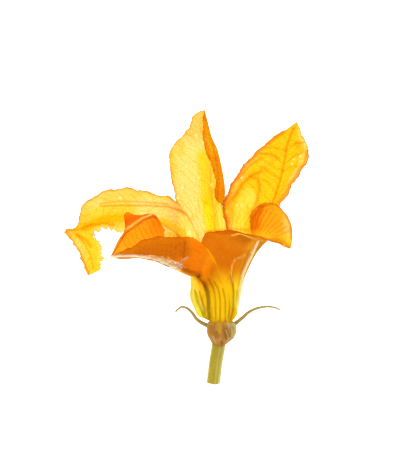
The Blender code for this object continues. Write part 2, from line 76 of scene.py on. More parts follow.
# Each petal: the seams on its two sides, the direction of its midrib at each level of the tube, how far up
# the tube the midrib has come by the last level, the three inner points at the mouth, the rows of the free
# lobe, each with five points from one margin over the midrib to the other, its tip, the phase of the ruffles
# on its two margins, and how long a stretch before its end has none
PETALS = {
    "top": {
        "seams": ("left_top", "top_right"),
        "midrib": (-116, -116, -116, -116, -115, -111, -106, -102),
        "midrib_share": 1,
        "mouth": ((-8, 43.5, 3), (-4, 44.5, 2.5), (0, 45.5, 2.5)),
        "lobe": (
            ((-18.5, 54.5, 3.5), (-11.5, 53, 2.5), (-4, 52.5, 2), (0, 53, 2.5), (2.5, 54.5, 4)),
            ((-23.5, 61, 3.5), (-14, 60.5, 2.5), (-4.5, 60.5, 2), (0, 61, 3.5), (0.8, 61.5, 7)),
            ((-24.5, 67.5, 5), (-15, 67, 3), (-5, 66.5, 2.5), (2, 66.5, 5.5), (-2.8, 65.2, 9.5)),
            ((-26.4, 75.5, 6.5), (-15.5, 75.5, 3.5), (-5.5, 75.5, 3), (1.6, 75, 6), (-3, 76.5, 10)),
            ((-27.5, 84.5, 7.5), (-16.5, 84.5, 4.5), (-5.5, 84, 4), (0, 84, 7), (-5.5, 84.5, 10.5)),
            ((-26.3, 92.8, 8.5), (-16.5, 92.5, 6), (-6.5, 91.5, 5.5), (-2.2, 92.5, 8), (-8.5, 92, 11.5)),
            ((-20.3, 99.5, 9), (-13.5, 98.5, 7.5), (-7.5, 98.5, 7), (-5, 98.5, 9), (-9.5, 99, 12)),
            ((-16, 105.8, 10), (-12, 105.5, 9), (-8.5, 105, 9), (-7, 105.5, 10.2), (-9.5, 105.5, 12.3)),
            ((-14.2, 110.3, 11), (-11.9, 111, 10.5), (-9.3, 109.8, 10.5), (-8, 109.8, 11.3),
             (-9.3, 109.5, 12.5)),
        ),
        "tip": (-8.6, 112.6, 12),
        "ruffle": (0, 2),
        "calm_end": 8,
    },
    "right": {
        "seams": ("top_right", "right_front"),
        "midrib": (-44, -44, -44, -44, -44, -44, -43, -42),
        "midrib_share": 1,
        "mouth": ((9.5, 45.5, 4), (13.5, 45.5, 8), (16, 45, 11.5)),
        "lobe": (
            ((1.8, 54.5, 8), (10, 54.5, 4.5), (18, 53, 6), (20.5, 52, 9.5), (22.5, 51, 13)),
            ((1, 61.5, 7.5), (12, 61.5, 3.5), (25, 60, 3.5), (27.8, 60, 7), (30.2, 60, 11)),
            ((3.9, 69.5, 7.5), (16, 69.5, 2.5), (30, 69, 0.5), (33, 68.8, 4.5), (35.7, 68.7, 9.5)),
            ((8, 77, 7), (19, 76.5, 2), (32, 76.5, -0.6), (36.3, 76, 2.5), (39.6, 76, 8)),
            ((13.6, 85.1, 6.5), (24, 84.5, 1.5), (34, 84.5, -0.6), (40.3, 84, 2), (45, 83.6, 6.5)),
            ((19.8, 91.2, 6), (27.5, 91, 3), (35, 91, 1.2), (41.3, 91, 3), (46.9, 91.3, 6)),
            ((25.6, 96.5, 6.5), (31, 96.5, 4.5), (36, 97, 3.5), (40.5, 97, 4.5), (44.6, 97, 6.5)),
            ((33.3, 101.4, 7.5), (35.6, 102, 6.5), (38.1, 102.1, 6), (40.6, 101.8, 6.5), (42.8, 101.4, 7.5)),
        ),
        "tip": (40.6, 106.4, 8),
        "ruffle": (1, 4),
        "calm_end": 8,
    },
    "front_right": {
        "seams": ("right_front", "front"),
        "midrib": (20, 20, 19, 18, 16, 12, 12, 12),
        "midrib_share": 0.85,
        "mouth": ((19.6, 41.3, 20), (17.8, 37.2, 27), (6, 39, 38.5)),
        "lobe": (
            ((15.5, 52.5, 20), (22, 47.5, 25), (22, 42, 33), (9, 43.5, 45), (-7, 47.5, 48.5)),
            ((17.5, 59.5, 23), (24, 53.5, 28.5), (25.5, 44.5, 37), (17, 44.5, 48), (3.5, 48.5, 53)),
            ((22, 63, 27.5), (27, 55.5, 32), (28, 45, 40.5), (22.5, 44.3, 49.5), (12.7, 47.2, 55.5)),
            ((28.5, 62.5, 32), (31.3, 55, 36), (30.7, 44.5, 43.5), (27, 43.7, 49.5), (21.7, 44.1, 55)),
            ((33.4, 58.3, 37), (34.5, 52.2, 40), (33.1, 43.7, 46), (31, 41.6, 50), (28.6, 42.7, 53.5)),
            ((36.9, 51, 42.5), (36.4, 47.5, 44.3), (34.6, 42.3, 47), (33, 40.3, 49.8), (31.6, 40.8, 52.2)),
            ((37.3, 44.5, 46.3), (36.8, 42.4, 47.2), (35.6, 40.3, 48.6), (34.4, 39.7, 50.1),
             (33.4, 40, 51.6)),
        ),
        "tip": (36.3, 38.9, 50),
        "ruffle": (3, 0.5),
        "calm_end": 12,
    },
    "front_left": {
        "seams": ("front", "front_left"),
        "midrib": (150, 146, 138, 124, 112, 107, 117, 128),
        "midrib_share": 0.7,
        "mouth": ((-12.5, 34.5, 41), (-17.1, 25.7, 34), (-20.5, 34.5, 27)),
        "lobe": (
            ((-16, 44.8, 49.5), (-18.5, 36, 46), (-23.8, 28.7, 39.5), (-25.5, 36, 32), (-26.5, 42, 26.5)),
            ((-25.5, 45, 55), (-26.2, 38, 51), (-30.7, 31.6, 44), (-31, 39.8, 35.5), (-30, 46, 29.5)),
            ((-33.4, 45.2, 58), (-34, 38.7, 54), (-38, 34.1, 47.5), (-35, 55, 38), (-32.3, 52, 32)),
            ((-40.3, 43.6, 59), (-40.5, 38.4, 55.5), (-44, 35, 50.5), (-41.1, 54.4, 41), (-42, 55.6, 35)),
            ((-46.1, 40.3, 58.5), (-46.6, 37.1, 56), (-49.3, 34.5, 52.5), (-46.6, 50.9, 45),
             (-50.4, 57.5, 39)),
            ((-50, 38.5, 58.5), (-51.4, 36, 56.5), (-53.3, 34.2, 54), (-51.7, 45.6, 49.5), (-51, 48.5, 46)),
            ((-53.8, 37, 57.6), (-54.8, 35.6, 56.3), (-56, 34.1, 54.8), (-55.6, 38.5, 52.8), (-55, 41, 50.5)),
        ),
        "tip": (-58.2, 34.3, 55),
        "ruffle": (2, 5),
        "calm_end": 14,
    },
    "left": {
        "seams": ("front_left", "left_top"),
        "midrib": (192, 191, 190, 186, 184, 188, 194, 200),
        "midrib_share": 1,
        "mouth": ((-20.5, 45.5, 18), (-17.5, 46.5, 13.5), (-14.5, 46, 9)),
        "lobe": (
            ((-25.5, 43.5, 20), (-22.5, 50, 17), (-19.5, 56, 13.5), (-17.9, 57, 10.3), (-17.7, 56.7, 7)),
            ((-32, 44, 16), (-29, 52.5, 12), (-26, 60, 10.5), (-25, 62.7, 8), (-25.3, 65.1, 8.2)),
            ((-40.5, 45.5, 11.5), (-38.5, 54, 7.5), (-37, 61.5, 6), (-36.3, 65, 5.3), (-35.5, 68, 7.5)),
            ((-51, 46.9, 8), (-50.5, 55, 3.5), (-50, 62, 1), (-49.5, 67.2, 3), (-49, 71, 7.5)),
            ((-60, 49.4, 5.5), (-61, 56, 1), (-62.5, 61.5, -0.8), (-62.8, 66, 1.5), (-62.5, 69.2, 6.5)),
            ((-65.5, 49, 5), (-68, 54, 1.5), (-69.5, 58, -0.2), (-70, 61, 1.8), (-71.4, 64.2, 6)),
            ((-67.8, 45.6, 4.5), (-70.2, 48.8, 2.5), (-72.2, 51.5, 2), (-74.2, 54.5, 3.5),
             (-75.7, 57.3, 6.5)),
            ((-67.9, 44.6, 4), (-70.7, 46, 3.8), (-73.3, 47.6, 4), (-75.5, 49, 5), (-77.3, 50, 7)),
            ((-64.7, 42.7, 3), (-69.3, 43.2, 3.5), (-74, 45, 4.5), (-79, 47.1, 6), (-83.3, 48.8, 8)),
            ((-63.4, 37.5, 2), (-66.9, 38.4, 2.5), (-71, 39.6, 3.5), (-75, 40.8, 5), (-79, 42.2, 7.5)),
            ((-64, 33, 2), (-66.5, 33.5, 2.5), (-69.2, 34, 3.5), (-72.3, 34.9, 5), (-75.4, 36, 7)),
            ((-64, 28.1, 2.5), (-65.6, 26.8, 3), (-67.2, 26, 4), (-69, 25.2, 5), (-70.8, 24.6, 6.5)),
        ),
        "tip": None,
        "ruffle": (2.5, 1),
        "calm_end": 36,
    },
}

# The middle of the stem and the calyx, from the cut end to the rim of the calyx
AXIS = np.array((
    (-4.2, -32.9, 2.9), (-2.9, -22.5, 5.5), (-1.3, -12.1, 8.2), (-0.3, -6, 9.5), (0.3, 0, 10.4),
))
AXIS_CALYX_BOTTOM = 2.0
AXIS_RIM = 4.0
STEM_RADIUS = 3.4
STEM_EDGE = 0.09
CALYX_RIDGE = 0.06
CALYX_TURN = (0.2, 0.9)
# The outside of the calyx: share of the way up from the stem, radius
CALYX_PROFILE = np.array((
    (0, 3.5), (0.1, 4.8), (0.28, 6.5), (0.5, 7.4), (0.72, 7.7), (0.92, 7.4), (1, 7.05),
))
CALYX_RIM_INSIDE = 6.6
RECESS_RADIUS = 6.4
RECESS_DEPTH = 1.5
# Each sepal: its radius at the root, and its middle from inside the calyx to the tip
SEPALS = (
    (1.2, ((-5.2, -3.8, 9.4), (-7.9, -2, 9.2), (-11.1, -0.3, 9.4), (-13.6, 2, 10.6), (-15.3, 4.6, 12),
            (-17.8, 6.9, 12.8), (-20.4, 7.8, 13.2), (-22.4, 7, 13.3), (-24.2, 5.1, 13))),
    (1.2, ((4.4, -3.8, 9), (6.6, -2, 8.1), (9.4, 0.3, 7.9), (12.2, 2.7, 9.3), (14.6, 4.9, 11.2),
            (18, 6.7, 12), (21.6, 7.7, 12.5), (25.2, 8, 12.6), (28.7, 7.5, 12.4), (31.5, 6.1, 12))),
    (1, ((3.2, -4.2, 13.2), (5, -1.9, 15.4), (6.9, -1.7, 15.8), (7.8, -4, 15), (7.4, -6.8, 13.8),
     (6, -9.4, 12.4))),
    (0.85, ((-2.5, -5, 5), (-4.3, -1.6, 2.2), (-6.2, 3.5, 1), (-7.8, 9, 0.9), (-9, 14.5, 0.8))),
    (0.85, ((3, -5, 5), (4.7, -1.6, 2.2), (5.4, 3.5, 1), (4.6, 9, 0.9), (3, 14, 0.8))),
)
SEPAL_TIP_RADIUS = 0.4
STAMEN_AXIS = np.array(((0.3, -1.15, 10.4), (-0.8, 5, 12.3), (-1.9, 13, 14.8), (-2.2, 24, 16.8)))
STAMEN_PROFILE = np.array((
    (0, 3.9), (0.12, 3), (0.3, 1.8), (0.38, 2), (0.45, 2.9), (0.7, 3.1), (0.88, 2.7), (1, 1),
))
STAMEN_TURN = 0.15
ANTHER_START = (0.37, 0.47)
ANTHER_RIDGES = 3
ANTHER_RIDGE = 0.35
ANTHER_TURNS = 0.8
REACH = 0.02

# The finer mesh of the looks
PETAL_THICKNESS = 0.35
COLUMNS = 76
ROW_STEP = 0.92
WELD = 0.005
# The ruffles and the finer ones on them: height, where across the petal they begin, length, times the phase
RUFFLES = ((0.5, 0.45, 10.5, 1), (0.2, 0.7, 3.7, 2.7))
TOOTH_DEPTH = 0.35
TOOTH_LENGTH = 1.1
TOOTH_START = 0.86
TEETH_CALM_END = 5.0
TORN_DEPTH = 1.4
TORN_LENGTH = 1.2
TORN_RISE = 6.0
TORN_FALL = 4.0
# The torn stretches of a petal's margins: which margin, and where along it they begin and end
TORN = {"left": ((-1, 66, 160), (1, 118, 160))}

# What one whole layer of petal lets through of the light under it
PALE = (0.66, 0.45, 0.125)
PALE_MARGIN = (0.64, 0.37, 0.04)
FRONT_TUBE_LAYER = (0.84, 0.71, 0.02)
TUBE_LAYER = (0.82, 0.56, 0.03)
LEMON = (0.68, 0.36, 0.008)
GOLD = (0.70, 0.36, 0.005)
AMBER = (0.66, 0.21, 0.003)
DEEP = (0.52, 0.19, 0.004)
# Each lobe's layer at some places from one margin (-1) to the other (1), the same on beyond the outer ones
LAYER = {
    "top": (
        (-1, (0.62, 0.38, 0.07)), (-0.85, PALE), (-0.2, PALE), (0.2, LEMON), (1, (0.68, 0.40, 0.012)),
    ),
    "right": (
        (-1, (0.66, 0.37, 0.06)), (-0.75, GOLD), (0.5, GOLD), (0.9, (0.70, 0.46, 0.09)),
    ),
    "front_right": (
        (-0.1, (0.58, 0.28, 0.006)), (0.1, DEEP), (1, (0.52, 0.17, 0.003)),
    ),
    "front_left": (
        (-1, (0.56, 0.20, 0.003)), (-0.7, (0.47, 0.165, 0.003)), (-0.05, (0.47, 0.165, 0.003)),
        (0.05, (0.68, 0.28, 0.006)), (0.45, (0.68, 0.28, 0.006)), (0.6, AMBER),
    ),
    "left": (
        (-1, (0.66, 0.48, 0.11)), (0.3, (0.66, 0.47, 0.14)), (0.75, (0.65, 0.44, 0.09)), (1, PALE_MARGIN),
    ),
}
# Where along the front petals and the others the lobe's colours take over from the tube's
FRONT_LAYER_START = (16, 33)
LAYER_START = (22, 46)
# The share of the light that a surface passes on, and the rest that it reflects
PASSING = 0.93
MARGIN_LAYER = (0.80, 0.55, 0.18)
MARGIN_CORE = 0.15
MARGIN_WIDTH = 0.9
MARGIN_CHANGE = 2.6
MARGIN_UNEVEN = 0.6
# How much of the margin's layer is lost where it is torn
TORN_LOSS = 0.8
# How much a surface faces up where the light lines fade out and where they are whole
STEEP = (0.08, 0.4)
RIB_LAYER = (0.80, 0.66, 0.8)
RIB_LAYER_REACH = 0.07
RIB_LAYER_START = (-1, 6)
RIB_LAYER_END = (MOUTH - 12, MOUTH + 10)
FRONT_RIB_SHARE = 0.25
# Where along the petal the net, the side veins and the long veins begin, and where the long ones end
NET_START = (MOUTH - 15, MOUTH + 10)
SIDE_VEINS_START = (MOUTH, MOUTH + 15)
LONG_VEINS_START = (0, 8)
LONG_VEINS_END = (MOUTH + 5, MOUTH + 35)
# How strong the side veins and the long veins are on the raised petals
FRONT_VEINS = (0.3, 0.5)
SIDE_VEIN_SLANT = 0.9
SIDE_VEIN_STEP = 4.5
LONG_VEINS = 6
# How far the veins, the net and the random lines of each petal are shifted from those of the one before
VEIN_SHIFT = 0.37
NET_SHIFT = 200.0
MARGIN_SHIFT = 3.1
TOOTH_SHIFT = 7.3
# Which random line the torn stretches follow
TORN_LINE = 40.0
# The share of a stroke's half width, and of a mark's or glint's radius, that is whole
STROKE_CORE = 0.25
MARK_CORE = 0.3

# Lines that two petals share: a white edge, pale stripes, hairs and veins, across and along the flower
# The white edge is partly pale hairs and partly painted highlight along the tube's right side
RIGHT_EDGE = ((8.3, 6), (9.2, 12), (9.9, 18), (11.3, 25.3), (13.6, 31), (16.8, 37.8), (19.6, 43))
RIGHT_STRIPE = ((10.4, 5), (11.4, 12), (11.6, 20), (14, 28), (17.6, 35.5), (21, 42))
LEFT_STRIPE = ((-15.5, 24), (-15, 14), (-13, 7), (-10.2, 2.5))
LEFT_HAIRS = ((-13.3, 18.6), (-10.9, 13.3), (-9, 6.4))
LEFT_VEIN = ((-13.3, 17.8), (-12, 10.8), (-9.4, 4.6), (-8, 1))
FRONT_VEIN = ((0.8, 17.8), (1.9, 12.5), (2.3, 3.7), (2.2, 0))

# Lines and patches that the photo shows on each petal: half width, what they let through compared with the
# petal round them, how far they stand out, and one line or more
# Some strokes are painted shade and painted light; they are marked below
STROKES = {
    "top": (
        (5.6, (1, 0.88, 0.12), 0, ((-9.5, 88), (-8.2, 75.3), (-7.4, 66))),
        (5, (1, 1.02, 0.06), 0, ((-7.4, 63), (-6.4, 57), (-5.2, 49.8), (-5, 44))),
        (11, (1, 0.83, 0.62), 0, ((-14, 103), (-9, 112))),
        (3.5, (1, 0.92, 0.5), 0, ((-25.5, 78), (-26, 90))),
        (3.2, (1.02, 1.42, 3), 0, ((-4.4, 90), (-6.2, 99), (-8, 106))),
        (2.4, (1.05, 1.16, 1), 0, ((-3, 84), (-2.1, 79.5), (-0.5, 72.5))),
        (0.8, (0.98, 0.8, 0.5), 0.2, ((-7.2, 95), (-5.6, 83.7), (-5.6, 71), (-4.9, 66), (-3.4, 56.2),
         (-3, 48))),
        (4, (1, 1.34, 7), 0, ((0.5, 60), (0.3, 55), (0, 50))),
        (0.6, (0.92, 0.62, 0.4), 0.3, ((-8, 108), (-5.6, 98), (-2.9, 88), (-1.2, 76), (-1.6, 68),
         (-1.8, 65.4))),
        (0.9, (0.86, 0.6, 0.3), 0.2, ((-8.5, 47.6), (-3, 48.6), (3, 49.2))),
        (1.6, (1.12, 1.3, 0.35), 0, ((1.2, 65), (2, 61.5), (1.8, 58.5))),
        (2.5, (1, 0.84, 0.4), 0, ((-10, 106), (-9.5, 101))),
        (3, (1, 0.9, 0.5), 0, ((-21, 95), (-21, 90))),
    ),
    "right": (
        (0.8, (0.9, 0.5, 0.3), 0.5, ((1.6, 62.2), (2.1, 58.8), (3, 54.7), (3.7, 49.3), (4, 45))),
        (0.9, (0.92, 0.56, 0.3), 0.6, ((39.2, 103.4), (38.2, 101.8), (35.5, 94.3), (34.2, 85.9),
         (31.8, 75.8), (29.2, 67.3), (21.7, 53), (15.9, 44.5))),
        (0.7, (0.9, 0.5, 0.4), 0.4, ((21.2, 89.6), (24.9, 89.6), (28.6, 88.5), (31.3, 86.4))),
        (1.4, (0.93, 0.6, 0.3), 0.7, ((21.5, 80), (16.2, 77.9), (11.7, 73.1), (8, 67.3), (2.7, 61))),
        (0.8, (0.92, 0.56, 0.4), 0.5, ((16.2, 77.4), (19.6, 76.3), (20.7, 73.1), (20.7, 70), (19.1, 63.6),
         (16.2, 57.8), (15.4, 50.4))),
        (3.5, (1, 1.08, 2.2), 0, ((18, 66), (17, 60))),
        (5.5, (1, 1.24, 7.5), 0, ((14.4, 67.5), (13.4, 64.5), (10.1, 58.3), (9, 50.9), (9, 45))),
        (0.7, (0.92, 0.6, 0.4), 0.4, ((21.7, 82.7), (26, 79.5), (31.3, 76.3))),
        (1.1, (0.86, 0.52, 0.25), 0.4, ((3.2, 64), (5, 70), (8.7, 76.8), (14.3, 84.6), (20.4, 90.6),
         (26.2, 95.9), (33.8, 100.9))),
        (1.5, (0.92, 0.52, 0.25), 0.4, ((46.6, 91), (44.2, 83.8), (38.8, 76), (34.9, 68.7), (31, 63))),
        (0.6, (0.93, 0.62, 0.4), 0.4, ((6.5, 73), (11.5, 78.5), (17, 84.3), (22, 87.5))),
        (0.5, (0.94, 0.66, 0.4), 0.4, ((24, 92.5), (28.2, 93), (33, 92), (36, 90.5))),
        (0.5, (0.94, 0.66, 0.4), 0.3, ((23, 76), (27.5, 72.5), (29.6, 69)),
         ((24, 85.5), (29, 82), (33.4, 80.5)), ((35.5, 85), (39, 88.5), (43, 90)),
         ((33, 79.5), (37, 82.5), (41.5, 83.5)), ((37.3, 93.5), (40.5, 95.5), (44, 95.5))),
        (2.6, (0.84, 1.25, 2.4), 0, RIGHT_STRIPE),
        (0.9, (0.86, 0.6, 0.3), 0.2, ((3, 49.2), (10, 49.2), (15, 48.4))),
        (1.5, (1.05, 1.3, 0.5), 0, ((2.4, 62), (2.4, 57.5))),
        (3, (1, 0.78, 0.35), 0, ((41, 95), (44, 91))),
        (1.2, (1, 1.08, 3), 0, ((37, 76.5), (40.5, 79.5))),
        (2, (1, 1.05, 2.5), 0, ((21.5, 84), (26, 86.5))),
    ),
    "front_right": (
        (0.6, (0.54, 0.43, 0.2), 0.2, FRONT_VEIN, ((3.4, 15.2), (4.3, 9), (3.8, 1.9))),
        (2, (0.9, 0.66, 0.45), 0.1, ((-6, 48.4), (2, 48.2), (9, 48.2), (15, 47.4))),
        (1, (0.46, 0.38, 0.2), 0.3, ((5.3, 25), (6.3, 16), (6.1, 7.2), (4.8, 1.1))),
        (0.5, (0.66, 0.56, 0.3), 0.1, ((7.9, 17), (7.7, 8), (6.2, 2))),
        (2.6, (0.84, 1.15, 2.4), 0, RIGHT_STRIPE),
        (3.4, (1.1, 1.45, 2.2), 0, ((16.5, 42), (13.4, 36), (10.6, 30), (9.1, 22.5), (8.6, 14.5), (8, 9))),
        # Painted shade: a darker line beside the white edge
        (0.8, (0.74, 0.8, 0.9), 0.3, ((8.2, 12), (8.6, 18), (9.6, 25), (11.8, 31), (15, 38))),
        # Painted shade: the upper band of the front-right wall made darker
        (3.4, (0.84, 0.78, 0.45), 0, ((7, 46), (13, 43))),
        # Painted shade on the front-right lobe beside its arch
        (3, (1, 0.6, 0.4), 0, ((21, 60.5), (19.4, 56), (18.2, 50))),
        (4, (1, 1.4, 12), 0, ((36, 58), (35.5, 52), (35.5, 48.8))),
        (0.8, (0.85, 0.55, 0.4), 0.2, ((16.3, 49.7), (17.1, 55), (20.7, 61), (27.7, 62.8), (33, 59.4),
         (36.5, 51.4), (36.9, 44.4))),
        (3, (0.98, 1.2, 2.5), 0, ((16.5, 38.5), (16.5, 35))),
        # Painted shade: more darkening of the upper band of the front-right wall
        (3.8, (0.8, 0.82, 0.8), 0, ((12, 46), (16, 44.5))),
        (2.6, (1, 1.25, 2), 0, ((37, 46), (33.5, 41.8))),
        # Painted highlight along the front-right lobe's lower margin
        (5, (1.03, 1.22, 1.4), 0, ((35, 43.5), (30, 44.5), (24, 46))),
    ),
    "front_left": (
        (0.9, (0.74, 0.74, 0.5), 0.4, ((-20, 28.4), (-14.5, 26.5), (-12, 25))),
        (3, (1.25, 1.3, 1), 0, ((-22, 33.5), (-19, 33))),
        (1.3, (0.74, 0.72, 0.5), 0, ((-9.6, 14), (-9.4, 9), (-8.6, 4))),
        (1.4, (0.34, 0.31, 0.2), 0.4, ((-12.2, 25), (-11.1, 23.9), (-8.5, 20.1), (-6.9, 15.9), (-6.3, 11.7),
         (-6.3, 6.4), (-5.8, -0.5))),
        (0.6, (0.62, 0.66, 0.5), 0.2, ((-39, 33.2), (-33, 32), (-27, 30.5), (-23.5, 29.2))),
        (0.6, (0.54, 0.45, 0.2), 0.2, ((-6.3, 23.1), (-4.1, 18.7), (-3, 12.5), (-2.7, 3.7), (-2.8, 0))),
        (0.6, (0.54, 0.43, 0.2), 0.2, ((-3.6, 21.4), (-1.2, 17), (-0.5, 10.8), (-0.5, 0.2)), FRONT_VEIN),
        (0.5, (0.66, 0.55, 0.3), 0.1, ((-4.6, 8), (-4.4, 0.5))),
        (0.7, (0.52, 0.5, 0.3), 0.2, LEFT_VEIN),
        (0.7, (0.56, 0.52, 0.3), 0.2, ((-11.1, 16.9), (-9.8, 10.8), (-8, 4.6), (-7, 1))),
        (3.6, (0.88, 1.32, 6), 0, LEFT_STRIPE),
        (3.6, (1.4, 1.62, 1), 0, ((-6, 33.5), (-8.2, 27), (-8.4, 24.5))),
        # Painted light: the lit side of a fold on the front-left petal, brighter than the shade beside it
        (6.5, (1.4, 1.42, 1), 0, ((-13, 43), (-12, 37), (-13.5, 31))),
        (0.8, (0.76, 0.58, 0.5), 0.3, ((-19.6, 43), (-19.4, 39), (-20.4, 34), (-21.5, 31.5))),
        (0.65, (0.66, 0.32, 0.4), 0.4, ((-57, 35.6), (-50.2, 47), (-45.2, 50.6), (-40.6, 54), (-36, 55.9),
         (-32.6, 54.6))),
        (3.4, (1, 0.62, 0.3), 0, ((-50, 53), (-46, 55.5), (-41.5, 57.5))),
        (4, (1, 0.78, 0.6), 0, ((-34.5, 52), (-35.5, 48))),
        (3, (0.96, 0.84, 0.25), 0, ((-51, 51.5), (-45, 54))),
        (1.6, (1, 1.2, 2.2), 0, ((-56, 38.5), (-52.5, 42.5))),
        (1.3, (1.06, 1.4, 3), 0, ((-11, 45), (-8.5, 44.6))),
    ),
    "left": (
        (0.6, (0.9, 0.52, 0.2), 0.4, ((-64.7, 61.5), (-53, 62), (-41.9, 62), (-28.6, 61.5), (-21.4, 59.4),
         (-17.5, 56.2), (-14.8, 51.9), (-12.7, 47.2), (-10.6, 43.5))),
        (0.5, (0.92, 0.6, 0.3), 0.3, ((-64.7, 62.8), (-53, 64.2), (-41.9, 63.9), (-28.6, 62.9))),
        (0.6, (0.94, 0.62, 0.3), 0.6, ((-34, 53.8), (-32.3, 52.5), (-28.6, 50.4), (-24.6, 47.7),
         (-21.9, 45.1))),
        (3.8, (1, 0.77, 0.03), 0, ((-72, 50), (-66, 53), (-60, 54.8), (-53, 55.2), (-47, 54.2), (-42, 53))),
        (1.5, (0.98, 0.75, 0.08), 0, ((-27, 46.2), (-24, 46), (-21.2, 45.4))),
        (1.2, (0.98, 0.66, 0.12), 0, ((-77, 46.5), (-72, 43.6), (-69.5, 40))),
        (7, (0.98, 0.84, 0.12), 0, ((-77, 51), (-72, 46), (-69, 38), (-68, 28))),
        # Painted light: the left petal's steep part by the tube made brighter
        (7, (1.03, 1.35, 1.1), 0, ((-18, 54), (-15.5, 48))),
        (8, (1, 0.82, 0.22), 0, ((-70, 55.5), (-60, 58.5), (-50, 58.8))),
        (3, (1, 0.84, 0.3), 0, ((-60, 52), (-50, 51.5))),
        (3.4, (1, 0.88, 0.5), 0, ((-62, 65), (-53, 66.4), (-44, 67))),
        (2.8, (1, 0.88, 0.15), 0, ((-31.5, 53.5), (-26, 51.2), (-20.7, 47.8), (-19, 46))),
        (1.3, (0.92, 0.62, 0.3), 0.3, ((-83, 48.8), (-78.6, 42), (-75, 36), (-70.6, 25))),
        (0.9, (0.9, 0.62, 0.3), 0.5, ((-82, 48.2), (-76.5, 48.6), (-70.5, 51.2), (-64, 52.4), (-57, 51.8))),
        (0.5, (0.94, 0.66, 0.4), 0.3, ((-77, 46.5), (-72.5, 41), (-69.5, 35), (-68, 28))),
        (0.6, (0.66, 0.58, 0.3), 0.2, LEFT_VEIN),
        (3.6, (0.9, 1.55, 6), 0, LEFT_STRIPE),
        (2.2, (0.98, 0.84, 0.25), 0, ((-79, 46.5), (-74.5, 43.5))),
    ),
}

# Rows of like strokes: half width, what they let through, how far they stand out, count, and the points of
# the first and the last one
FANS = {
    "front_left": (
        (0.4, (0.86, 0.7, 0.6), 0.1, 11, ((-21.5, 42), (-22, 32)), ((-45, 40), (-45.5, 35.8))),
        (0.45, (0.96, 0.62, 0.4), 0.2, 8, ((-52, 44), (-50.5, 41), (-48.5, 38.5)),
         ((-37, 54.5), (-35, 50), (-33, 46))),
    ),
    "front_right": (
        (0.45, (0.92, 0.58, 0.4), 0.2, 8, ((18.5, 50), (20, 56), (23, 62)),
         ((28, 45.3), (32.5, 46.8), (36.5, 48.5))),
    ),
}

# Lines where pale hairs and thin tissue let much light through, partly their own pale colour and partly
# painted highlight where they catch light: half width, layer, how far they stand out, and one line or more
LIGHT_LINES = {
    "right": (
        (0.6, (1, 1, 0.9), 0.1, RIGHT_EDGE),
    ),
    "front_right": (
        (0.35, (0.86, 0.58, 0.1), 0.2, ((5.3, 46.2), (10.1, 46.8), (20.1, 43.4), (26, 42.3), (33.4, 40.3))),
        (0.3, (1, 0.96, 0.62), 0.3, ((12.6, 35.6), (7.6, 33.6), (5.7, 30.2), (5.2, 26.2), (6, 21))),
        (0.6, (1, 1, 0.9), 0.1, RIGHT_EDGE),
    ),
    "front_left": (
        (0.8, (0.95, 0.9, 0.8), 0.1, ((-58, 34.5), (-53, 35.2), (-45, 35.2), (-37.6, 34.4))),
        (0.4, (0.95, 0.88, 0.74), 0.2, ((-40, 34.6), (-36, 34), (-32, 32.8), (-28, 31.2), (-23.5, 29.4))),
        (0.35, (0.94, 0.84, 0.66), 0.3, ((-38.5, 35.6), (-34.5, 35), (-31, 33.6)),
         ((-35.5, 33.4), (-31.5, 33.4), (-28.6, 32.3)), ((-31.5, 35), (-29.5, 33.6), (-25.5, 31.8)),
         ((-31.5, 32), (-27.5, 32.2), (-23.6, 31.4)), ((-28.5, 34.6), (-26, 32.8), (-22.8, 31.8))),
        (0.4, (0.95, 0.88, 0.74), 0.3, ((-27, 30.4), (-24.4, 29.6), (-21.5, 28.2))),
        (0.3, (0.95, 0.8, 0.5), 0.3, ((-51, 48.6), (-46, 51.8), (-41.2, 55.3), (-36, 57.1))),
        (0.8, (0.9, 0.82, 0.2), 0.1, ((-36, 31.4), (-29.7, 29.8), (-24, 28.2))),
        (1.3, (0.92, 0.78, 0.14), 0.2, ((-22.5, 27.6), (-17.2, 24.9), (-13.2, 21.2), (-11.2, 17.4))),
        (0.8, (0.66, 0.36, 0.006), 0.2, ((-8.5, 40.8), (-4.1, 33.7), (0.6, 26.5))),
        (0.35, (0.93, 0.88, 0.6), 0.3, LEFT_HAIRS),
    ),
    "left": (
        (0.35, (0.93, 0.88, 0.6), 0.3, LEFT_HAIRS),
        (1.1, (0.88, 0.84, 0.36), 0, ((-14.8, 21), (-15, 14), (-12.8, 7), (-10.6, 3.5))),
    ),
}

# Small bright spots of painted highlight, where light glints on the petals: points across and along the
# flower
GLINTS = {
    "top": ((-20.7, 71.5), (-22.8, 65.7), (-11.7, 76.3), (-5.3, 72.6), (-13.2, 99.6), (-18.6, 82.7)),
    "right": ((39.2, 86.9), (38.2, 84.3), (42.7, 88.5), (11.1, 76.9), (8.5, 62), (10.9, 62)),
    "left": ((-15.5, 45.5), (-54, 66), (-17, 47.5)),
}
GLINT_RADIUS = 0.65
GLINT_LAYER = (0.72, 0.72, 0.66)

# What brings the noise's values to about -1 and 1
ROUGH_RANGE = 1.8


def slopes(points, knots):
    """How fast the smooth curve through the points moves at each of them."""
    steps = np.diff(knots).reshape((-1,) + (1,) * (points.ndim - 1))
    rises = np.diff(points, axis=0) / steps
    inner = (rises[:-1] * steps[1:] + rises[1:] * steps[:-1]) / (steps[:-1] + steps[1:])
    first = rises[:1] * 1.5 - inner[:1] * 0.5
    last = rises[-1:] * 1.5 - inner[-1:] * 0.5
    return np.concatenate((first, inner, last))


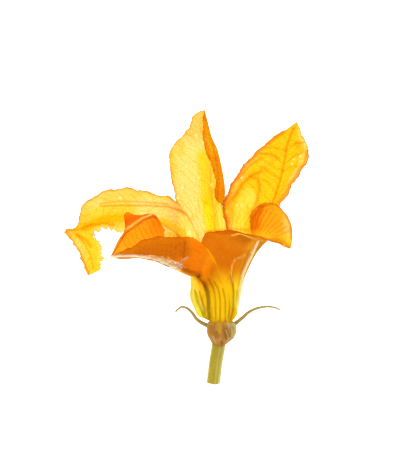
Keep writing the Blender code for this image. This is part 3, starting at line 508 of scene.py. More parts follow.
def curve(points, knots, places):
    """The smooth curve through all the points, at some places along the knots."""
    points = np.asarray(points, float)
    knots = np.asarray(knots, float)
    places = np.atleast_1d(np.asarray(places, float))
    shape = (-1,) + (1,) * (points.ndim - 1)
    index = np.clip(np.searchsorted(knots, places) - 1, 0, len(knots) - 2)
    span = (knots[index + 1] - knots[index]).reshape(shape)
    s = (places - knots[index]).reshape(shape) / span
    moves = slopes(points, knots)
    return (
        points[index] * (2 * s**3 - 3 * s**2 + 1)
        + moves[index] * span * (s**3 - 2 * s**2 + s)
        + points[index + 1] * (3 * s**2 - 2 * s**3)
        + moves[index + 1] * span * (s**3 - s**2)
    )


def smooth_step(low, high, value):
    """0 up to the low value, 1 from the high one, and a smooth rise between them."""
    s = np.clip((value - low) / (high - low), 0.0, 1.0)
    return s * s * (3 - 2 * s)


def unit(vectors):
    """The vectors at length one."""
    return vectors / np.maximum(np.linalg.norm(vectors, axis=-1, keepdims=True), 1e-9)


def rough(places, seed):
    """A smooth random line between about -1 and 1, the same on every run."""
    return np.array([noise.noise(Vector((place, seed, 0.5))) * ROUGH_RANGE for place in places])


def ring_angles(count):
    """Even directions round a ring, in radians."""
    return np.linspace(0, 2 * math.pi, count, endpoint=False)


def tube_points(levels, directions):
    """Points on the wall of the tube, at levels along the flower and directions round it."""
    middle_x, middle_z, radius_x, radius_z = curve(TUBE[:, 1:], TUBE[:, 0], levels).T
    angles = np.radians(directions)
    across = middle_x + radius_x * np.cos(angles)
    return np.stack((across, levels, middle_z + radius_z * np.sin(angles)), axis=1)


def petal_net(petal):
    """The rows of five points that a petal's surface runs through, and each row's place along it."""
    levels = TUBE[:, 0]
    before, after = (SEAMS[name] for name in petal["seams"])
    start = np.array(before[0], float)
    end = np.array(after[0], float)
    start[start > end] -= 360
    middle = np.array(petal["midrib"], float)
    rib_levels = levels[0] + (levels - levels[0]) * petal["midrib_share"]
    side_levels = (levels + rib_levels) / 2
    tube = np.stack((
        tube_points(levels, start),
        tube_points(side_levels, (start + middle) / 2),
        tube_points(rib_levels, middle),
        tube_points(side_levels, (middle + end) / 2),
        tube_points(levels, end),
    ), axis=1)
    free = [(before[1],) + petal["mouth"] + (after[1],)] + list(petal["lobe"])
    if petal["tip"]:
        free.append((petal["tip"],) * len(COLUMN_PLACES))
    free = np.array(free, float)
    steps = np.linalg.norm(np.diff(free, axis=0), axis=2).mean(axis=1)
    knots = np.concatenate((levels, (MOUTH,), MOUTH + np.cumsum(steps)))
    return np.concatenate((tube, free)), knots


def petal_places(knots):
    """The places of the mesh's rows: the same for all petals up to the mouth."""
    places = [knots[:1]]
    for low, high in zip(knots, knots[1:]):
        count = max(1, round((high - low) / ROW_STEP))
        places.append(low + (high - low) * np.arange(1, count + 1) / count)
    return np.concatenate(places)


def bare_surface(net, knots, across, along):
    """The petal before ribs and ruffles. A margin has a corner at the notch, where it leaves the seam."""
    mouth = len(TUBE)
    lines = []
    for number in range(len(COLUMN_PLACES)):
        column = net[:, number]
        if number in (0, len(COLUMN_PLACES) - 1):
            below = curve(column[:mouth + 1], knots[:mouth + 1], along[along <= MOUTH])
            above = curve(column[mouth:], knots[mouth:], along[along > MOUTH])
            lines.append(np.concatenate((below, above)))
        else:
            lines.append(curve(column, knots, along))
    return curve(np.stack(lines), COLUMN_PLACES, across)


def crest(across, place, reach):
    """1 on a line at one place across the petal, and 0 from its reach on."""
    return np.maximum(0, 1 - abs(across - place) / reach)


def rib_height(across, along, end):
    """How far the veins stand out from the outside of the petal."""
    fade = 1 - smooth_step(MOUTH, end, along)
    side_fade = 1 - smooth_step(MOUTH - SIDE_RIBS_FADE, MOUTH + SIDE_RIBS_FADE, along)
    height = MIDRIB_HEIGHT * fade * crest(across, 0, RIB_REACH)
    for place in SIDE_RIBS:
        height = height + SIDE_RIB_HEIGHT * side_fade * crest(across, place, RIB_REACH)
    return height * smooth_step(RIBS_START, RIBS_START + RIBS_RISE, along)


def ruffle_height(petal, across, along, end):
    """How far the margins' waves stand out, with finer waves nearer to the edge."""
    phase = np.where(across < 0, *petal["ruffle"])
    calm = smooth_step(end - petal["calm_end"], end, along)
    reach = smooth_step(MOUTH, MOUTH + RUFFLE_RISE, along) * (1 - calm)
    turn = (along - MOUTH) * 2 * math.pi
    height = 0
    for full, first, length, times in RUFFLES:
        wave = np.sin(turn / length + phase * times)
        height = height + full * smooth_step(first, 1.0, abs(across)) * wave
    return height * reach


def line_distance(points, line):
    """How far each point is from a line of several points, seen from above."""
    line = np.asarray(line, float)
    nearest = np.full(points.shape[:-1], np.inf)
    for start, end in zip(line, line[1:]):
        way = end - start
        share = np.clip(((points - start) @ way) / (way @ way), 0, 1)
        gap = np.linalg.norm(points - start - share[..., None] * way, axis=-1)
        nearest = np.minimum(nearest, gap)
    return nearest


def nearness(distance, radius, core):
    """1 close to a mark and 0 from its radius on. The core is the share of the radius that is whole."""
    return 1 - smooth_step(core, 1.0, distance / radius)


def put_over(tint, layer, share):
    """Lays another layer over the tint, in each point as much of it as the share says."""
    tint *= 1 + (np.array(layer) - 1) * share[..., None]


def turn_into(tint, layer, share):
    """Turns the tint into another layer, in each point as far as the share says."""
    tint += (np.array(layer) - tint) * share[..., None]


def petal_strokes(name):
    """A petal's strokes one by one, those of its fans spread evenly between the first and the last one."""
    for half_width, layer, height, *lines in STROKES[name]:
        for line in lines:
            yield half_width, layer, height, line
    for half_width, layer, height, count, first, last in FANS.get(name, ()):
        for share in np.linspace(0, 1, count):
            yield half_width, layer, height, np.array(first) + (np.array(last) - np.array(first)) * share


def petal_base(name, across, along):
    """What the petal lets through before any mark: the tube's layer below, the lobe's own above."""
    places, layers = zip(*LAYER[name])
    lobe = np.stack([np.interp(across, places, channel) for channel in zip(*layers)], axis=-1)[:, None]
    is_front = name.startswith("front")
    tube = np.array(FRONT_TUBE_LAYER if is_front else TUBE_LAYER)
    start = FRONT_LAYER_START if is_front else LAYER_START
    return tube + (lobe - tube) * smooth_step(*start, along)[:, None]


def torn_share(name, across, along):
    """How far the petal's margins are torn, from 0 to 1."""
    torn = np.zeros((len(across), len(along)))
    for side, low, high in TORN.get(name, ()):
        here = smooth_step(low, low + TORN_RISE, along) * (1 - smooth_step(high - TORN_FALL, high, along))
        torn += (np.sign(across) == side)[:, None] * here
    return torn


def mark_petal(name, bare, outward, tint):
    """Draws the strokes and the light lines into the tint. Returns how far they stand out and what they leave
    of the veins."""
    lift = np.zeros(bare.shape[:-1])
    veined = np.ones(bare.shape[:-1])
    seen = bare[..., :2]
    for half_width, layer, height, line in petal_strokes(name):
        near = nearness(line_distance(seen, line), half_width, STROKE_CORE)
        put_over(tint, layer, near)
        lift += height * near
    is_flat = smooth_step(*STEEP, abs(outward[..., 2]))
    for half_width, layer, height, *lines in LIGHT_LINES.get(name, ()):
        for line in lines:
            near = nearness(line_distance(seen, line), half_width, STROKE_CORE) * is_flat
            turn_into(tint, layer, near)
            lift += height * near
            veined *= 1 - near
    return lift, veined


def cut_margins(number, points, sideways, across, along, torn, free_end):
    """The teeth of the free margins, and the ragged edge where a petal is torn."""
    inward = unit(sideways) * -np.sign(across)[:, None, None]
    for side in (-1, 1):
        depth = TOOTH_DEPTH * rough(along / TOOTH_LENGTH, number * TOOTH_SHIFT + side)
        depth += TORN_DEPTH * torn[0 if side < 0 else -1] * rough(along / TORN_LENGTH, TORN_LINE + side)
        share = np.where(np.sign(across) == side, smooth_step(TOOTH_START, 1.0, abs(across)), 0)[:, None]
        points = points + inward * (share * depth * free_end)[..., None]
    return points


def rib_share(across, along, is_front):
    """How much of the ribs' own layer each point has."""
    share = crest(across, 0, RIB_LAYER_REACH)
    for place in SIDE_RIBS:
        share = np.maximum(share, crest(across, place, RIB_LAYER_REACH))
    share = share * (1 - smooth_step(*RIB_LAYER_END, along)) * smooth_step(*RIB_LAYER_START, along)
    return share * (FRONT_RIB_SHARE if is_front else 1)


def margin_share(number, from_margin, along):
    """How much of the margins' own layer each point would have if they were free and whole."""
    uneven = 1 + MARGIN_UNEVEN * rough(along / MARGIN_CHANGE, number * MARGIN_SHIFT)
    return 1 - smooth_step(MARGIN_CORE, MARGIN_WIDTH, from_margin / uneven)


def vein_strengths(along, is_front):
    """How strong the net, the side veins and the long veins are along the petal."""
    side_share, long_share = FRONT_VEINS if is_front else (1.0, 1.0)
    return np.stack((
        smooth_step(*NET_START, along),
        smooth_step(*SIDE_VEINS_START, along) * side_share,
        (1 - smooth_step(*LONG_VEINS_END, along)) * smooth_step(*LONG_VEINS_START, along) * long_share,
    ), axis=-1)


def petal_sheet(name, number):
    """One petal as a grid of points with the facts that its colours and hairs need."""
    petal = PETALS[name]
    is_front = name.startswith("front")
    net, knots = petal_net(petal)
    end = knots[-1]
    along = petal_places(knots)
    across = np.linspace(-1, 1, COLUMNS + 1)
    u = across[:, None]
    bare = bare_surface(net, knots, across, along)
    sideways = np.gradient(bare, axis=0)
    outward = unit(np.cross(np.gradient(bare, axis=1), sideways))
    steps = np.linalg.norm(np.diff(bare, axis=0), axis=2)
    from_start = np.concatenate((np.zeros((1, len(along))), np.cumsum(steps, axis=0)))
    from_midrib = from_start - from_start[COLUMNS // 2]
    from_margin = np.minimum(from_start, from_start[-1] - from_start)
    is_free = smooth_step(MOUTH, MOUTH + FREE_RISE, along)

    tint = petal_base(name, across, along)
    lift, veined = mark_petal(name, bare, outward, tint)
    lift += rib_height(u, along, end) + ruffle_height(petal, u, along, end)
    put_over(tint, RIB_LAYER, rib_share(u, along, is_front))
    torn = torn_share(name, across, along)
    put_over(tint, MARGIN_LAYER, margin_share(number, from_margin, along) * is_free * (1 - TORN_LOSS * torn))
    # Painted highlights: the glints turn the tint almost white
    for spot in GLINTS.get(name, ()):
        distance = np.linalg.norm(bare[..., :2] - np.array(spot), axis=-1)
        turn_into(tint, GLINT_LAYER, nearness(distance, GLINT_RADIUS, MARK_CORE))

    points = bare + outward * lift[..., None]
    free_end = is_free * (1 - smooth_step(end - TEETH_CALM_END, end, along))
    points = cut_margins(number, points, sideways, across, along, torn, free_end)
    points[..., 2] = np.maximum(points[..., 2], PETAL_THICKNESS / 2)
    along_map = np.broadcast_to(along, from_midrib.shape)
    side_field = (along - SIDE_VEIN_SLANT * abs(from_midrib)) / SIDE_VEIN_STEP
    long_field = np.broadcast_to(u * LONG_VEINS + number * VEIN_SHIFT, from_midrib.shape)
    return {
        "name": name,
        "points": points,
        "outward": outward,
        "along": along,
        "tint": tint,
        "veining": np.broadcast_to(vein_strengths(along, is_front), tint.shape),
        "veined": np.stack([veined] * 3, axis=-1),
        "net_map": np.stack((from_midrib + number * NET_SHIFT, along_map), axis=-1),
        "vein_map": np.stack((side_field, long_field), axis=-1),
    }


def to_metres(points):
    """Points of the flower, in millimetres from its foot, as metres in the world."""
    return (np.asarray(points, float) + FOOT) * MM


def new_mesh(name, points, faces):
    """A mesh from points of the flower."""
    data = bpy.data.meshes.new(name)
    data.from_pydata(to_metres(points).tolist(), [], faces)
    return data


def surface_tint(layer):
    """The colour of one of a layer's two surfaces, from what the whole layer lets through."""
    return np.clip(np.sqrt(np.asarray(layer)) / PASSING, 0, 1)


def add_colours(data, name, colours):
    """A colour for each vertex, which a material can read by its name."""
    attribute = data.attributes.new(name, "FLOAT_COLOR", "POINT")
    flat = np.ones((len(data.vertices), 4))
    flat[:, :3] = colours
    attribute.data.foreach_set("color", flat.ravel())


def add_map(data, name, values):
    """A UV map with one value for each vertex."""
    corners = np.empty(len(data.loops), int)
    data.loops.foreach_get("vertex_index", corners)
    layer = data.uv_layers.new(name=name)
    layer.data.foreach_set("uv", values[corners].ravel())


def link_object(name, data, material):
    """A mesh as an object in the scene, with one material, shaded smooth."""
    data.materials.append(material)
    data.shade_smooth()
    made = bpy.data.objects.new(name, data)
    bpy.context.scene.collection.objects.link(made)
    return made


def add_piece(name, data, material, slot, *nodes):
    """A mesh as a piece of the flower with its finish, in place of the model's parts that it hides."""
    piece = link_object(name, data, material)
    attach(piece, "root")
    if nodes:
        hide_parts(*nodes)
    return piece


def add_node(tree, kind, inputs=None, **settings):
    """A shader node. An input is a plain value, or the socket that feeds it."""
    node = tree.nodes.new(kind)
    for name, value in settings.items():
        setattr(node, name, value)
    for name, value in (inputs or {}).items():
        if isinstance(value, bpy.types.NodeSocket):
            tree.links.new(value, node.inputs[name])
        else:
            node.inputs[name].default_value = value
    return node


def calculate(tree, operation, *values, clamp=False):
    """A Math node on sockets and numbers, and its result."""
    inputs = dict(enumerate(values))
    return add_node(tree, "ShaderNodeMath", inputs, operation=operation, use_clamp=clamp).outputs[0]


def fall_off(tree, value, start, stop):
    """1 up to the start value and 0 from the stop value."""
    inputs = {"Value": value, "From Min": start, "From Max": stop, "To Min": 1.0, "To Max": 0.0}
    return add_node(tree, "ShaderNodeMapRange", inputs, interpolation_type="SMOOTHSTEP").outputs["Result"]


def multiply_colour(tree, factor, first, second):
    """The first colour times the second one, as far as the factor says."""
    # A Mix node's colours are its inputs 6 and 7 and its output 2
    inputs = {0: factor, 6: first, 7: second}
    return add_node(tree, "ShaderNodeMix", inputs, data_type="RGBA", blend_type="MULTIPLY").outputs[2]


def noise_texture(tree, vector, scale, detail):
    """A noise texture's value at the vector."""
    inputs = {"Vector": vector, "Scale": scale, "Detail": detail}
    return add_node(tree, "ShaderNodeTexNoise", inputs).outputs[0]


def streak_texture(tree, vector, scale, detail):
    """Noise that is stretched by its own scale on each axis."""
    stretch = add_node(tree, "ShaderNodeMapping", {"Vector": vector, "Scale": scale})
    return noise_texture(tree, stretch.outputs[0], 1.0, detail)


def read_colours(tree, name, output="Color"):
    """What the mesh says under this name."""
    return add_node(tree, "ShaderNodeAttribute", attribute_name=name).outputs[output]


def new_material(name):
    """An empty material's tree with its output."""
    material = bpy.data.materials.new(name)
    material.use_nodes = True
    tree = material.node_tree
    tree.nodes.clear()
    output = add_node(tree, "ShaderNodeOutputMaterial")
    return material, tree, output.inputs["Surface"]


def mix_shaders(tree, output, passing, kept, passed):
    """Sends a share of the light through one shader and the rest through the other."""
    mix = add_node(tree, "ShaderNodeMixShader", {"Fac": passing, 1: kept.outputs[0], 2: passed.outputs[0]})
    tree.links.new(mix.outputs[0], output)


def tissue(tree, output, colour, passing, base_share, roughness, height):
    """Plant tissue that passes on some of the light and reflects the rest."""
    relief = {"Strength": RELIEF_STRENGTH, "Distance": RELIEF, "Height": height}
    normal = add_node(tree, "ShaderNodeBump", relief).outputs["Normal"]
    passed = add_node(tree, "ShaderNodeBsdfTranslucent", {"Color": colour, "Normal": normal})
    base = multiply_colour(tree, 1.0, colour, base_share)
    kept = add_node(tree, "ShaderNodeBsdfPrincipled", {
        "Base Color": base, "Roughness": roughness, "Specular IOR Level": SHINE, "Normal": normal,
    })
    mix_shaders(tree, output, passing, kept, passed)


# How strong the tissue's fine relief is, how far it stands out, in metres, and how much the tissue shines
RELIEF_STRENGTH = 0.5
RELIEF = 0.0002
SHINE = 0.15
# What the veins let through compared with the petal round them, the same for the streaks of the other bodies,
# and what share of their colour petals and bodies reflect
VEIN_LAYER = (0.94, 0.76, 0.36, 1)
PETAL_SHARE = (0.67, 0.44, 0.08, 1)
BODY_STREAKS = (0.72, 0.70, 0.55, 1)
BODY_SHARE = (0.67, 0.63, 0.53, 1)
PETAL_ROUGHNESS = 0.45
# How fine the net of veins, the grain and the streaks are
NET_SCALE = 0.62
GRAIN_SCALE = 1.3
STREAK_SCALE = (1.9, 0.10, 1.0)
# How far the veins wander from even lines, and how fine that wandering is
WANDER = 2.4
WANDER_SCALE = 0.11
# From where to where the net's lines, the side veins and the long veins fade out
NET_EDGE = (0.0, 0.13)
SIDE_VEIN_EDGE = (0.01, 0.09)
LONG_VEIN_EDGE = (0.02, 0.16)
# How strong the net, the veins, the grain and the streaks are, the last also where there are many long veins
NET_STRENGTH = 0.75
VEIN_STRENGTH = 0.6
GRAIN_STRENGTH = 1.3
STREAK_STRENGTH = 0.7
STREAK_GAIN = 2.2


def petal_material():
    """Thin petal tissue: a fine net of veins, side veins and long veins over the petal's own tint."""
    material, tree, output = new_material("petal_tissue")
    net_map = add_node(tree, "ShaderNodeUVMap", uv_map="net_map").outputs[0]
    vein_map = add_node(tree, "ShaderNodeUVMap", uv_map="vein_map").outputs[0]
    fields = add_node(tree, "ShaderNodeSeparateXYZ", {0: vein_map}).outputs
    strength = add_node(tree, "ShaderNodeSeparateColor", {0: read_colours(tree, "veining")}).outputs
    slow = noise_texture(tree, net_map, WANDER_SCALE, 2.0)
    shift = calculate(tree, "MULTIPLY", calculate(tree, "SUBTRACT", slow, 0.5), WANDER)
    cells = add_node(
        tree, "ShaderNodeTexVoronoi", {"Scale": NET_SCALE, "Vector": net_map},
        feature="DISTANCE_TO_EDGE", voronoi_dimensions="2D",
    )
    net = calculate(tree, "MULTIPLY", fall_off(tree, cells.outputs["Distance"], *NET_EDGE), strength[0])
    veins = calculate(tree, "MULTIPLY", net, NET_STRENGTH)
    for number, edge in enumerate((SIDE_VEIN_EDGE, LONG_VEIN_EDGE)):
        place = calculate(tree, "PINGPONG", calculate(tree, "ADD", fields[number], shift), 0.5)
        lines = calculate(tree, "MULTIPLY", fall_off(tree, place, *edge), strength[number + 1])
        veins = calculate(tree, "MULTIPLY_ADD", lines, VEIN_STRENGTH, veins)
    grain = calculate(tree, "SUBTRACT", noise_texture(tree, net_map, GRAIN_SCALE, 3.0), 0.5)
    veins = calculate(tree, "MULTIPLY_ADD", grain, GRAIN_STRENGTH, veins)
    streaks = calculate(tree, "SUBTRACT", streak_texture(tree, net_map, STREAK_SCALE, 2.0), 0.5)
    streak_strength = calculate(tree, "MULTIPLY_ADD", strength[2], STREAK_GAIN, STREAK_STRENGTH)
    veins = calculate(tree, "MULTIPLY_ADD", streaks, streak_strength, veins, clamp=True)
    veins = calculate(tree, "MULTIPLY", veins, read_colours(tree, "veined", "Fac"))
    colour = multiply_colour(tree, veins, read_colours(tree, "tint"), VEIN_LAYER)
    tissue(tree, output, colour, PASSING, PETAL_SHARE, PETAL_ROUGHNESS, veins)
    return material


# The thicker tissues: the share of the light that they pass on, roughness, and how fine their streaks are
BODY_TISSUES = {
    "stem_tissue": (0.55, 0.5, (900.0, 60.0, 900.0)),
    "calyx_tissue": (0.5, 0.55, (700.0, 90.0, 700.0)),
    "stamen_tissue": (0.9, 0.7, (1500.0, 1500.0, 1500.0)),
}
# The hairs' colours, and the share of the light that they pass on
HAIR_TISSUES = {
    "pale_hairs": ((0.88, 0.80, 0.42, 1), 0.5),
    "white_hairs": ((1.0, 0.94, 0.60, 1), 0.75),
    "silver_hairs": ((1.0, 0.94, 0.72, 1), 0.2),
}
HAIR_ROUGHNESS = 0.4


def body_material(name):
    """Thicker tissue, with fine streaks along the flower over its own tint."""
    passing, roughness, streak_scale = BODY_TISSUES[name]
    material, tree, output = new_material(name)
    place = add_node(tree, "ShaderNodeTexCoord").outputs["Object"]
    streaks = streak_texture(tree, place, streak_scale, 3.0)
    colour = multiply_colour(tree, streaks, read_colours(tree, "tint"), BODY_STREAKS)
    tissue(tree, output, colour, passing, BODY_SHARE, roughness, streaks)
    return material


def hair_material(name):
    """Fine pale hairs."""
    colour, passing = HAIR_TISSUES[name]
    material, tree, output = new_material(name)
    kept = add_node(tree, "ShaderNodeBsdfPrincipled", {"Base Color": colour, "Roughness": HAIR_ROUGHNESS})
    passed = add_node(tree, "ShaderNodeBsdfTranslucent", {"Color": colour})
    mix_shaders(tree, output, passing, kept, passed)
    return material


def grid_faces(columns, rows, first):
    """The faces of a grid of points that are numbered row by row within each column."""
    faces = []
    for column in range(columns - 1):
        for row in range(rows - 1):
            corner = first + column * rows + row
            faces.append((corner, corner + rows, corner + rows + 1, corner + 1))
    return faces


def make_petals(sheets):
    """The five petals, grown together up to their notches, as one thin shell."""
    faces = []
    total = 0
    for sheet in sheets:
        columns, rows = sheet["points"].shape[:2]
        faces += grid_faces(columns, rows, total)
        total += columns * rows
    joined = {}
    for name in ("points", "tint", "veining", "veined", "net_map", "vein_map"):
        joined[name] = np.concatenate([sheet[name].reshape(-1, sheet[name].shape[-1]) for sheet in sheets])
    data = new_mesh("petals", joined["points"], faces)
    add_colours(data, "tint", surface_tint(joined["tint"]))
    for name in ("veining", "veined"):
        add_colours(data, name, joined[name])
    for name in ("net_map", "vein_map"):
        add_map(data, name, joined[name])
    mesh = bmesh.new()
    mesh.from_mesh(data)
    bmesh.ops.remove_doubles(mesh, verts=mesh.verts, dist=WELD * MM)
    mesh.to_mesh(data)
    mesh.free()
    petals = add_piece("petals", data, petal_material(), "petal", "corolla")
    shell = petals.modifiers.new("thickness", "SOLIDIFY")
    shell.thickness = PETAL_THICKNESS * MM
    shell.offset = 0


def ring_frames(line, places, turned=0.0):
    """Middles on a line, and the two directions across it at each of them. A ring turned by 1 faces +Y."""
    knots = range(len(line))
    middles = curve(line, knots, places)
    ahead = unit(curve(line, knots, places + REACH) - curve(line, knots, places - REACH))
    share = np.broadcast_to(turned, places.shape)[:, None]
    ahead = unit(ahead * (1 - share) + np.array((0.0, 1.0, 0.0)) * share)
    side = unit(np.cross(ahead, (0.0, 0.0, 1.0)))
    return middles, side, np.cross(side, ahead)


def loft_points(middles, side, up, radii):
    """Rings of points round the middles. The radii have a row for each ring and a column for each angle."""
    angles = ring_angles(radii.shape[1])
    around = side[:, None] * np.cos(angles)[None, :, None] + up[:, None] * np.sin(angles)[None, :, None]
    return middles[:, None] + around * radii[..., None]


def loft_mesh(name, rings):
    """A closed mesh through rings of like counts, with flat ends."""
    count, sides = rings.shape[:2]
    faces = []
    for ring in range(count - 1):
        for number in range(sides):
            after = (number + 1) % sides
            low = ring * sides
            high = low + sides
            faces.append((low + number, low + after, high + after, high + number))
    faces.append(tuple(range(sides))[::-1])
    faces.append(tuple(range((count - 1) * sides, count * sides)))
    data = new_mesh(name, rings.reshape(-1, 3), faces)
    mesh = bmesh.new()
    mesh.from_mesh(data)
    bmesh.ops.recalc_face_normals(mesh, faces=mesh.faces)
    mesh.to_mesh(data)
    mesh.free()
    return data


def join_data(name, meshes):
    """Several meshes with the same attributes as one."""
    joined = bmesh.new()
    for data in meshes:
        joined.from_mesh(data)
    data = bpy.data.meshes.new(name)
    joined.to_mesh(data)
    joined.free()
    return data


# The stem and the calyx have five edges
EDGES = 5
STEM_SIDES = 80
STEM_STEPS = 90
STEM_GROOVE = 0.02
STEM_GROOVES = 25
# How much the stem's radius wanders, and how fast it does so round the stem and along it
STEM_WOBBLE = 0.03
WOBBLE_ROUND = 1.5
WOBBLE_ALONG = 2.5
STEM_TINT = (0.70, 0.60, 0.07)
STEM_RIDGE_AND_RIM_LIGHT_TINT = (1.0, 1.0, 0.62)
# The cosine from which the tops of the edges are paler, how much so, and the same for the stem's two sides
PALE_EDGES = 0.75
PALE_EDGE_SHARE = 0.5
# The sides are paler partly for their pale hairs, partly as painted rim light from the glow below
RIM_LIGHT_SIDES = 0.68
STEM_SHARP = 50
# The cut end, from the middle out: share of the stem's radius, and how far out it stands
CUT_END = ((0.02, -0.8), (0.45, -0.7), (0.6, -0.25), (0.93, -0.1))


def make_stem():
    """The five-angled stem with fine ridges and its cut end, a rim of skin round a slightly sunken pith."""
    places = np.linspace(0, AXIS_CALYX_BOTTOM, STEM_STEPS)
    middles, side, up = ring_frames(AXIS, places)
    ahead = unit(np.cross(up[-1], side[-1]))
    middles[-1] = middles[-1] - ahead * GAP * np.sign(ahead[1])
    angles = ring_angles(STEM_SIDES)
    turns = [(math.cos(angle) * WOBBLE_ROUND, math.sin(angle) * WOBBLE_ROUND) for angle in angles]
    wobble = np.array([
        [noise.noise(Vector((x, y, place * WOBBLE_ALONG))) for x, y in turns] for place in places
    ])
    ridges = STEM_EDGE * np.cos(EDGES * angles) + STEM_GROOVE * np.cos(STEM_GROOVES * angles)
    radii = STEM_RADIUS * (1 + ridges + STEM_WOBBLE * wobble)
    rings = loft_points(middles, side, up, radii)
    face = unit(np.cross(up[0], side[0]))
    face = face * -np.sign(face[1])
    ends = [middles[0] + (rings[0] - middles[0]) * share + face * depth for share, depth in CUT_END]
    rings = np.concatenate((np.array(ends), rings))
    rings[..., 2] = np.maximum(rings[..., 2], 0.0)
    data = loft_mesh("stem_skin", rings)
    ridge = smooth_step(PALE_EDGES, 1.0, np.cos(EDGES * angles)) * PALE_EDGE_SHARE
    # Painted rim light: the stem's two sides, seen from above, turn pale
    pale = np.maximum(ridge, smooth_step(RIM_LIGHT_SIDES, 1.0, abs(np.cos(angles))))
    tint = np.array(STEM_TINT) + (np.array(STEM_RIDGE_AND_RIM_LIGHT_TINT) - STEM_TINT) * pale[:, None]
    add_colours(data, "tint", np.tile(tint, (len(rings), 1)))
    add_piece("stem_skin", data, body_material("stem_tissue"), "stem", "stem")
    data.set_sharp_from_angle(angle=math.radians(STEM_SHARP))
    return middles, side, up, radii


CALYX_SIDES = 160
CALYX_STEPS = 80
CALYX_GROOVE = 0.015
CALYX_GROOVES = 20
CALYX_GROOVE_TURN = 1.0
CALYX_SHARP = 60
CALYX_TINT = (0.80, 0.46, 0.10)
# How high above the calyx's middle the marks are whole
MARK_RISE = 3.0
# Patches and pale hair lines on the upper side of the cup: half width, tint, and points across and along
# the flower
CALYX_MARKS = (
    (1.7, (0.95, 0.60, 0.08), ((-7, -0.6), (7, -0.6))),
    (2.0, (0.72, 0.37, 0.05), ((-5.0, -3), (-4.2, -7))),
    (1.6, (1.0, 0.66, 0.07), ((-0.8, -0.5), (-0.6, -5))),
    (1.2, (0.90, 0.52, 0.08), ((-3, -1), (-2.8, -4))),
    (2.2, (0.52, 0.26, 0.05), ((2.2, -4.6), (3.4, -8.5))),
    (1.6, (0.95, 0.52, 0.26), ((-1, -9.2), (-0.6, -10.4))),
    (1.6, (0.62, 0.33, 0.06), ((-2.6, -6), (-1.8, -8))),
    (1.3, (0.50, 0.26, 0.05), ((0.4, -11), (0.8, -12))),
    (0.35, (0.62, 0.36, 0.10), ((-3.4, -1), (-3.5, -5), (-2.8, -9))),
    (0.35, (0.62, 0.36, 0.10), ((1.3, -0.6), (1.4, -4.4), (1.6, -8))),
    (0.35, (1.0, 0.90, 0.55), ((-4.3, -7.6), (-3.6, -9.6), (-2.7, -11.3))),
    (0.35, (1.0, 0.90, 0.55), ((2.4, -4.2), (3.6, -7), (4.1, -9), (3.2, -11.3))),
    (0.5, (1.0, 0.92, 0.50), ((3.2, -0.3), (4.2, -2), (5.2, -2.6))),
    (1.6, (1.0, 0.97, 0.62), ((4.6, -1.5), (5.6, -4), (6.2, -7), (5.6, -9))),
    # Painted shadow: a dark line on the cup beside the curled sepal
    (0.4, (0.50, 0.40, 0.16), ((4.8, -3.4), (5.2, -6), (4.9, -8.4))),
)
SEPAL_SIDES = 16
SEPAL_STEPS = 60
SEPAL_EDGE = 0.08
SEPAL_EDGES = 3
SEPAL_TINT = (0.72, 0.61, 0.27)
PALE_SEPAL = 2
PALE_SEPAL_TINT = (0.92, 0.88, 0.48)


def make_sepal(number, root_radius, line):
    """One sepal's mesh, and the frames and radii that its hairs stand on."""
    line = np.array(line, float)
    shares = np.linspace(0, 1, SEPAL_STEPS)
    middles, side, up = ring_frames(line, shares * (len(line) - 1))
    radius = root_radius + (SEPAL_TIP_RADIUS - root_radius) * shares
    radii = radius[:, None] * (1 + SEPAL_EDGE * np.cos(SEPAL_EDGES * ring_angles(SEPAL_SIDES)))
    data = loft_mesh("sepal", loft_points(middles, side, up, radii))
    tint = PALE_SEPAL_TINT if number == PALE_SEPAL else SEPAL_TINT
    add_colours(data, "tint", np.tile(tint, (len(data.vertices), 1)))
    return data, (middles, side, up, radii)


def make_calyx():
    """The ribbed cup under the petals with its five sepals."""
    shares = np.linspace(0, 1, CALYX_STEPS)
    places = AXIS_CALYX_BOTTOM + (AXIS_RIM - AXIS_CALYX_BOTTOM) * shares
    middles, side, up = ring_frames(AXIS, places, smooth_step(*CALYX_TURN, shares))
    radius = curve(CALYX_PROFILE[:, 1], CALYX_PROFILE[:, 0], shares)[:, None]
    angles = ring_angles(CALYX_SIDES)
    bulge = np.sin(math.pi * shares)[:, None]
    ridges = CALYX_RIDGE * np.cos(EDGES * angles)
    ridges += CALYX_GROOVE * np.cos(CALYX_GROOVES * angles + CALYX_GROOVE_TURN)
    radii = radius * (1 + bulge * ridges)
    cup = loft_points(middles, side, up, radii)
    rim = np.tile(AXIS[-1], (2, 1))
    rim[1] -= (0, RECESS_DEPTH, 0)
    inner = np.array((CALYX_RIM_INSIDE, RECESS_RADIUS))[:, None] * np.ones((1, CALYX_SIDES))
    recess = loft_points(rim, np.tile(side[-1], (2, 1)), np.tile(up[-1], (2, 1)), inner)
    rings = np.concatenate((cup, recess))
    body = loft_mesh("calyx_skin", rings)
    points = rings.reshape(-1, 3)
    tint = np.tile(CALYX_TINT, (len(points), 1))
    is_upper = smooth_step(0.0, MARK_RISE, points[:, 2] - AXIS[-2, 2])
    for half_width, mark_tint, line in CALYX_MARKS:
        near = nearness(line_distance(points[:, :2], line), half_width, MARK_CORE)
        turn_into(tint, mark_tint, near * is_upper)
    add_colours(body, "tint", tint)
    sepals, frames = zip(*(make_sepal(number, *sepal) for number, sepal in enumerate(SEPALS)))
    joined = join_data("calyx_skin", (body,) + sepals)
    add_piece("calyx_skin", joined, body_material("calyx_tissue"), "calyx", "calyx")
    joined.set_sharp_from_angle(angle=math.radians(CALYX_SHARP))
    return (middles, side, up, radii), frames


STAMEN_SIDES = 64
STAMEN_STEPS = 110
STAMEN_TINT = (0.95, 0.80, 0.30)
ANTHER_FOLD = 0.12
ANTHER_FOLDS = 9


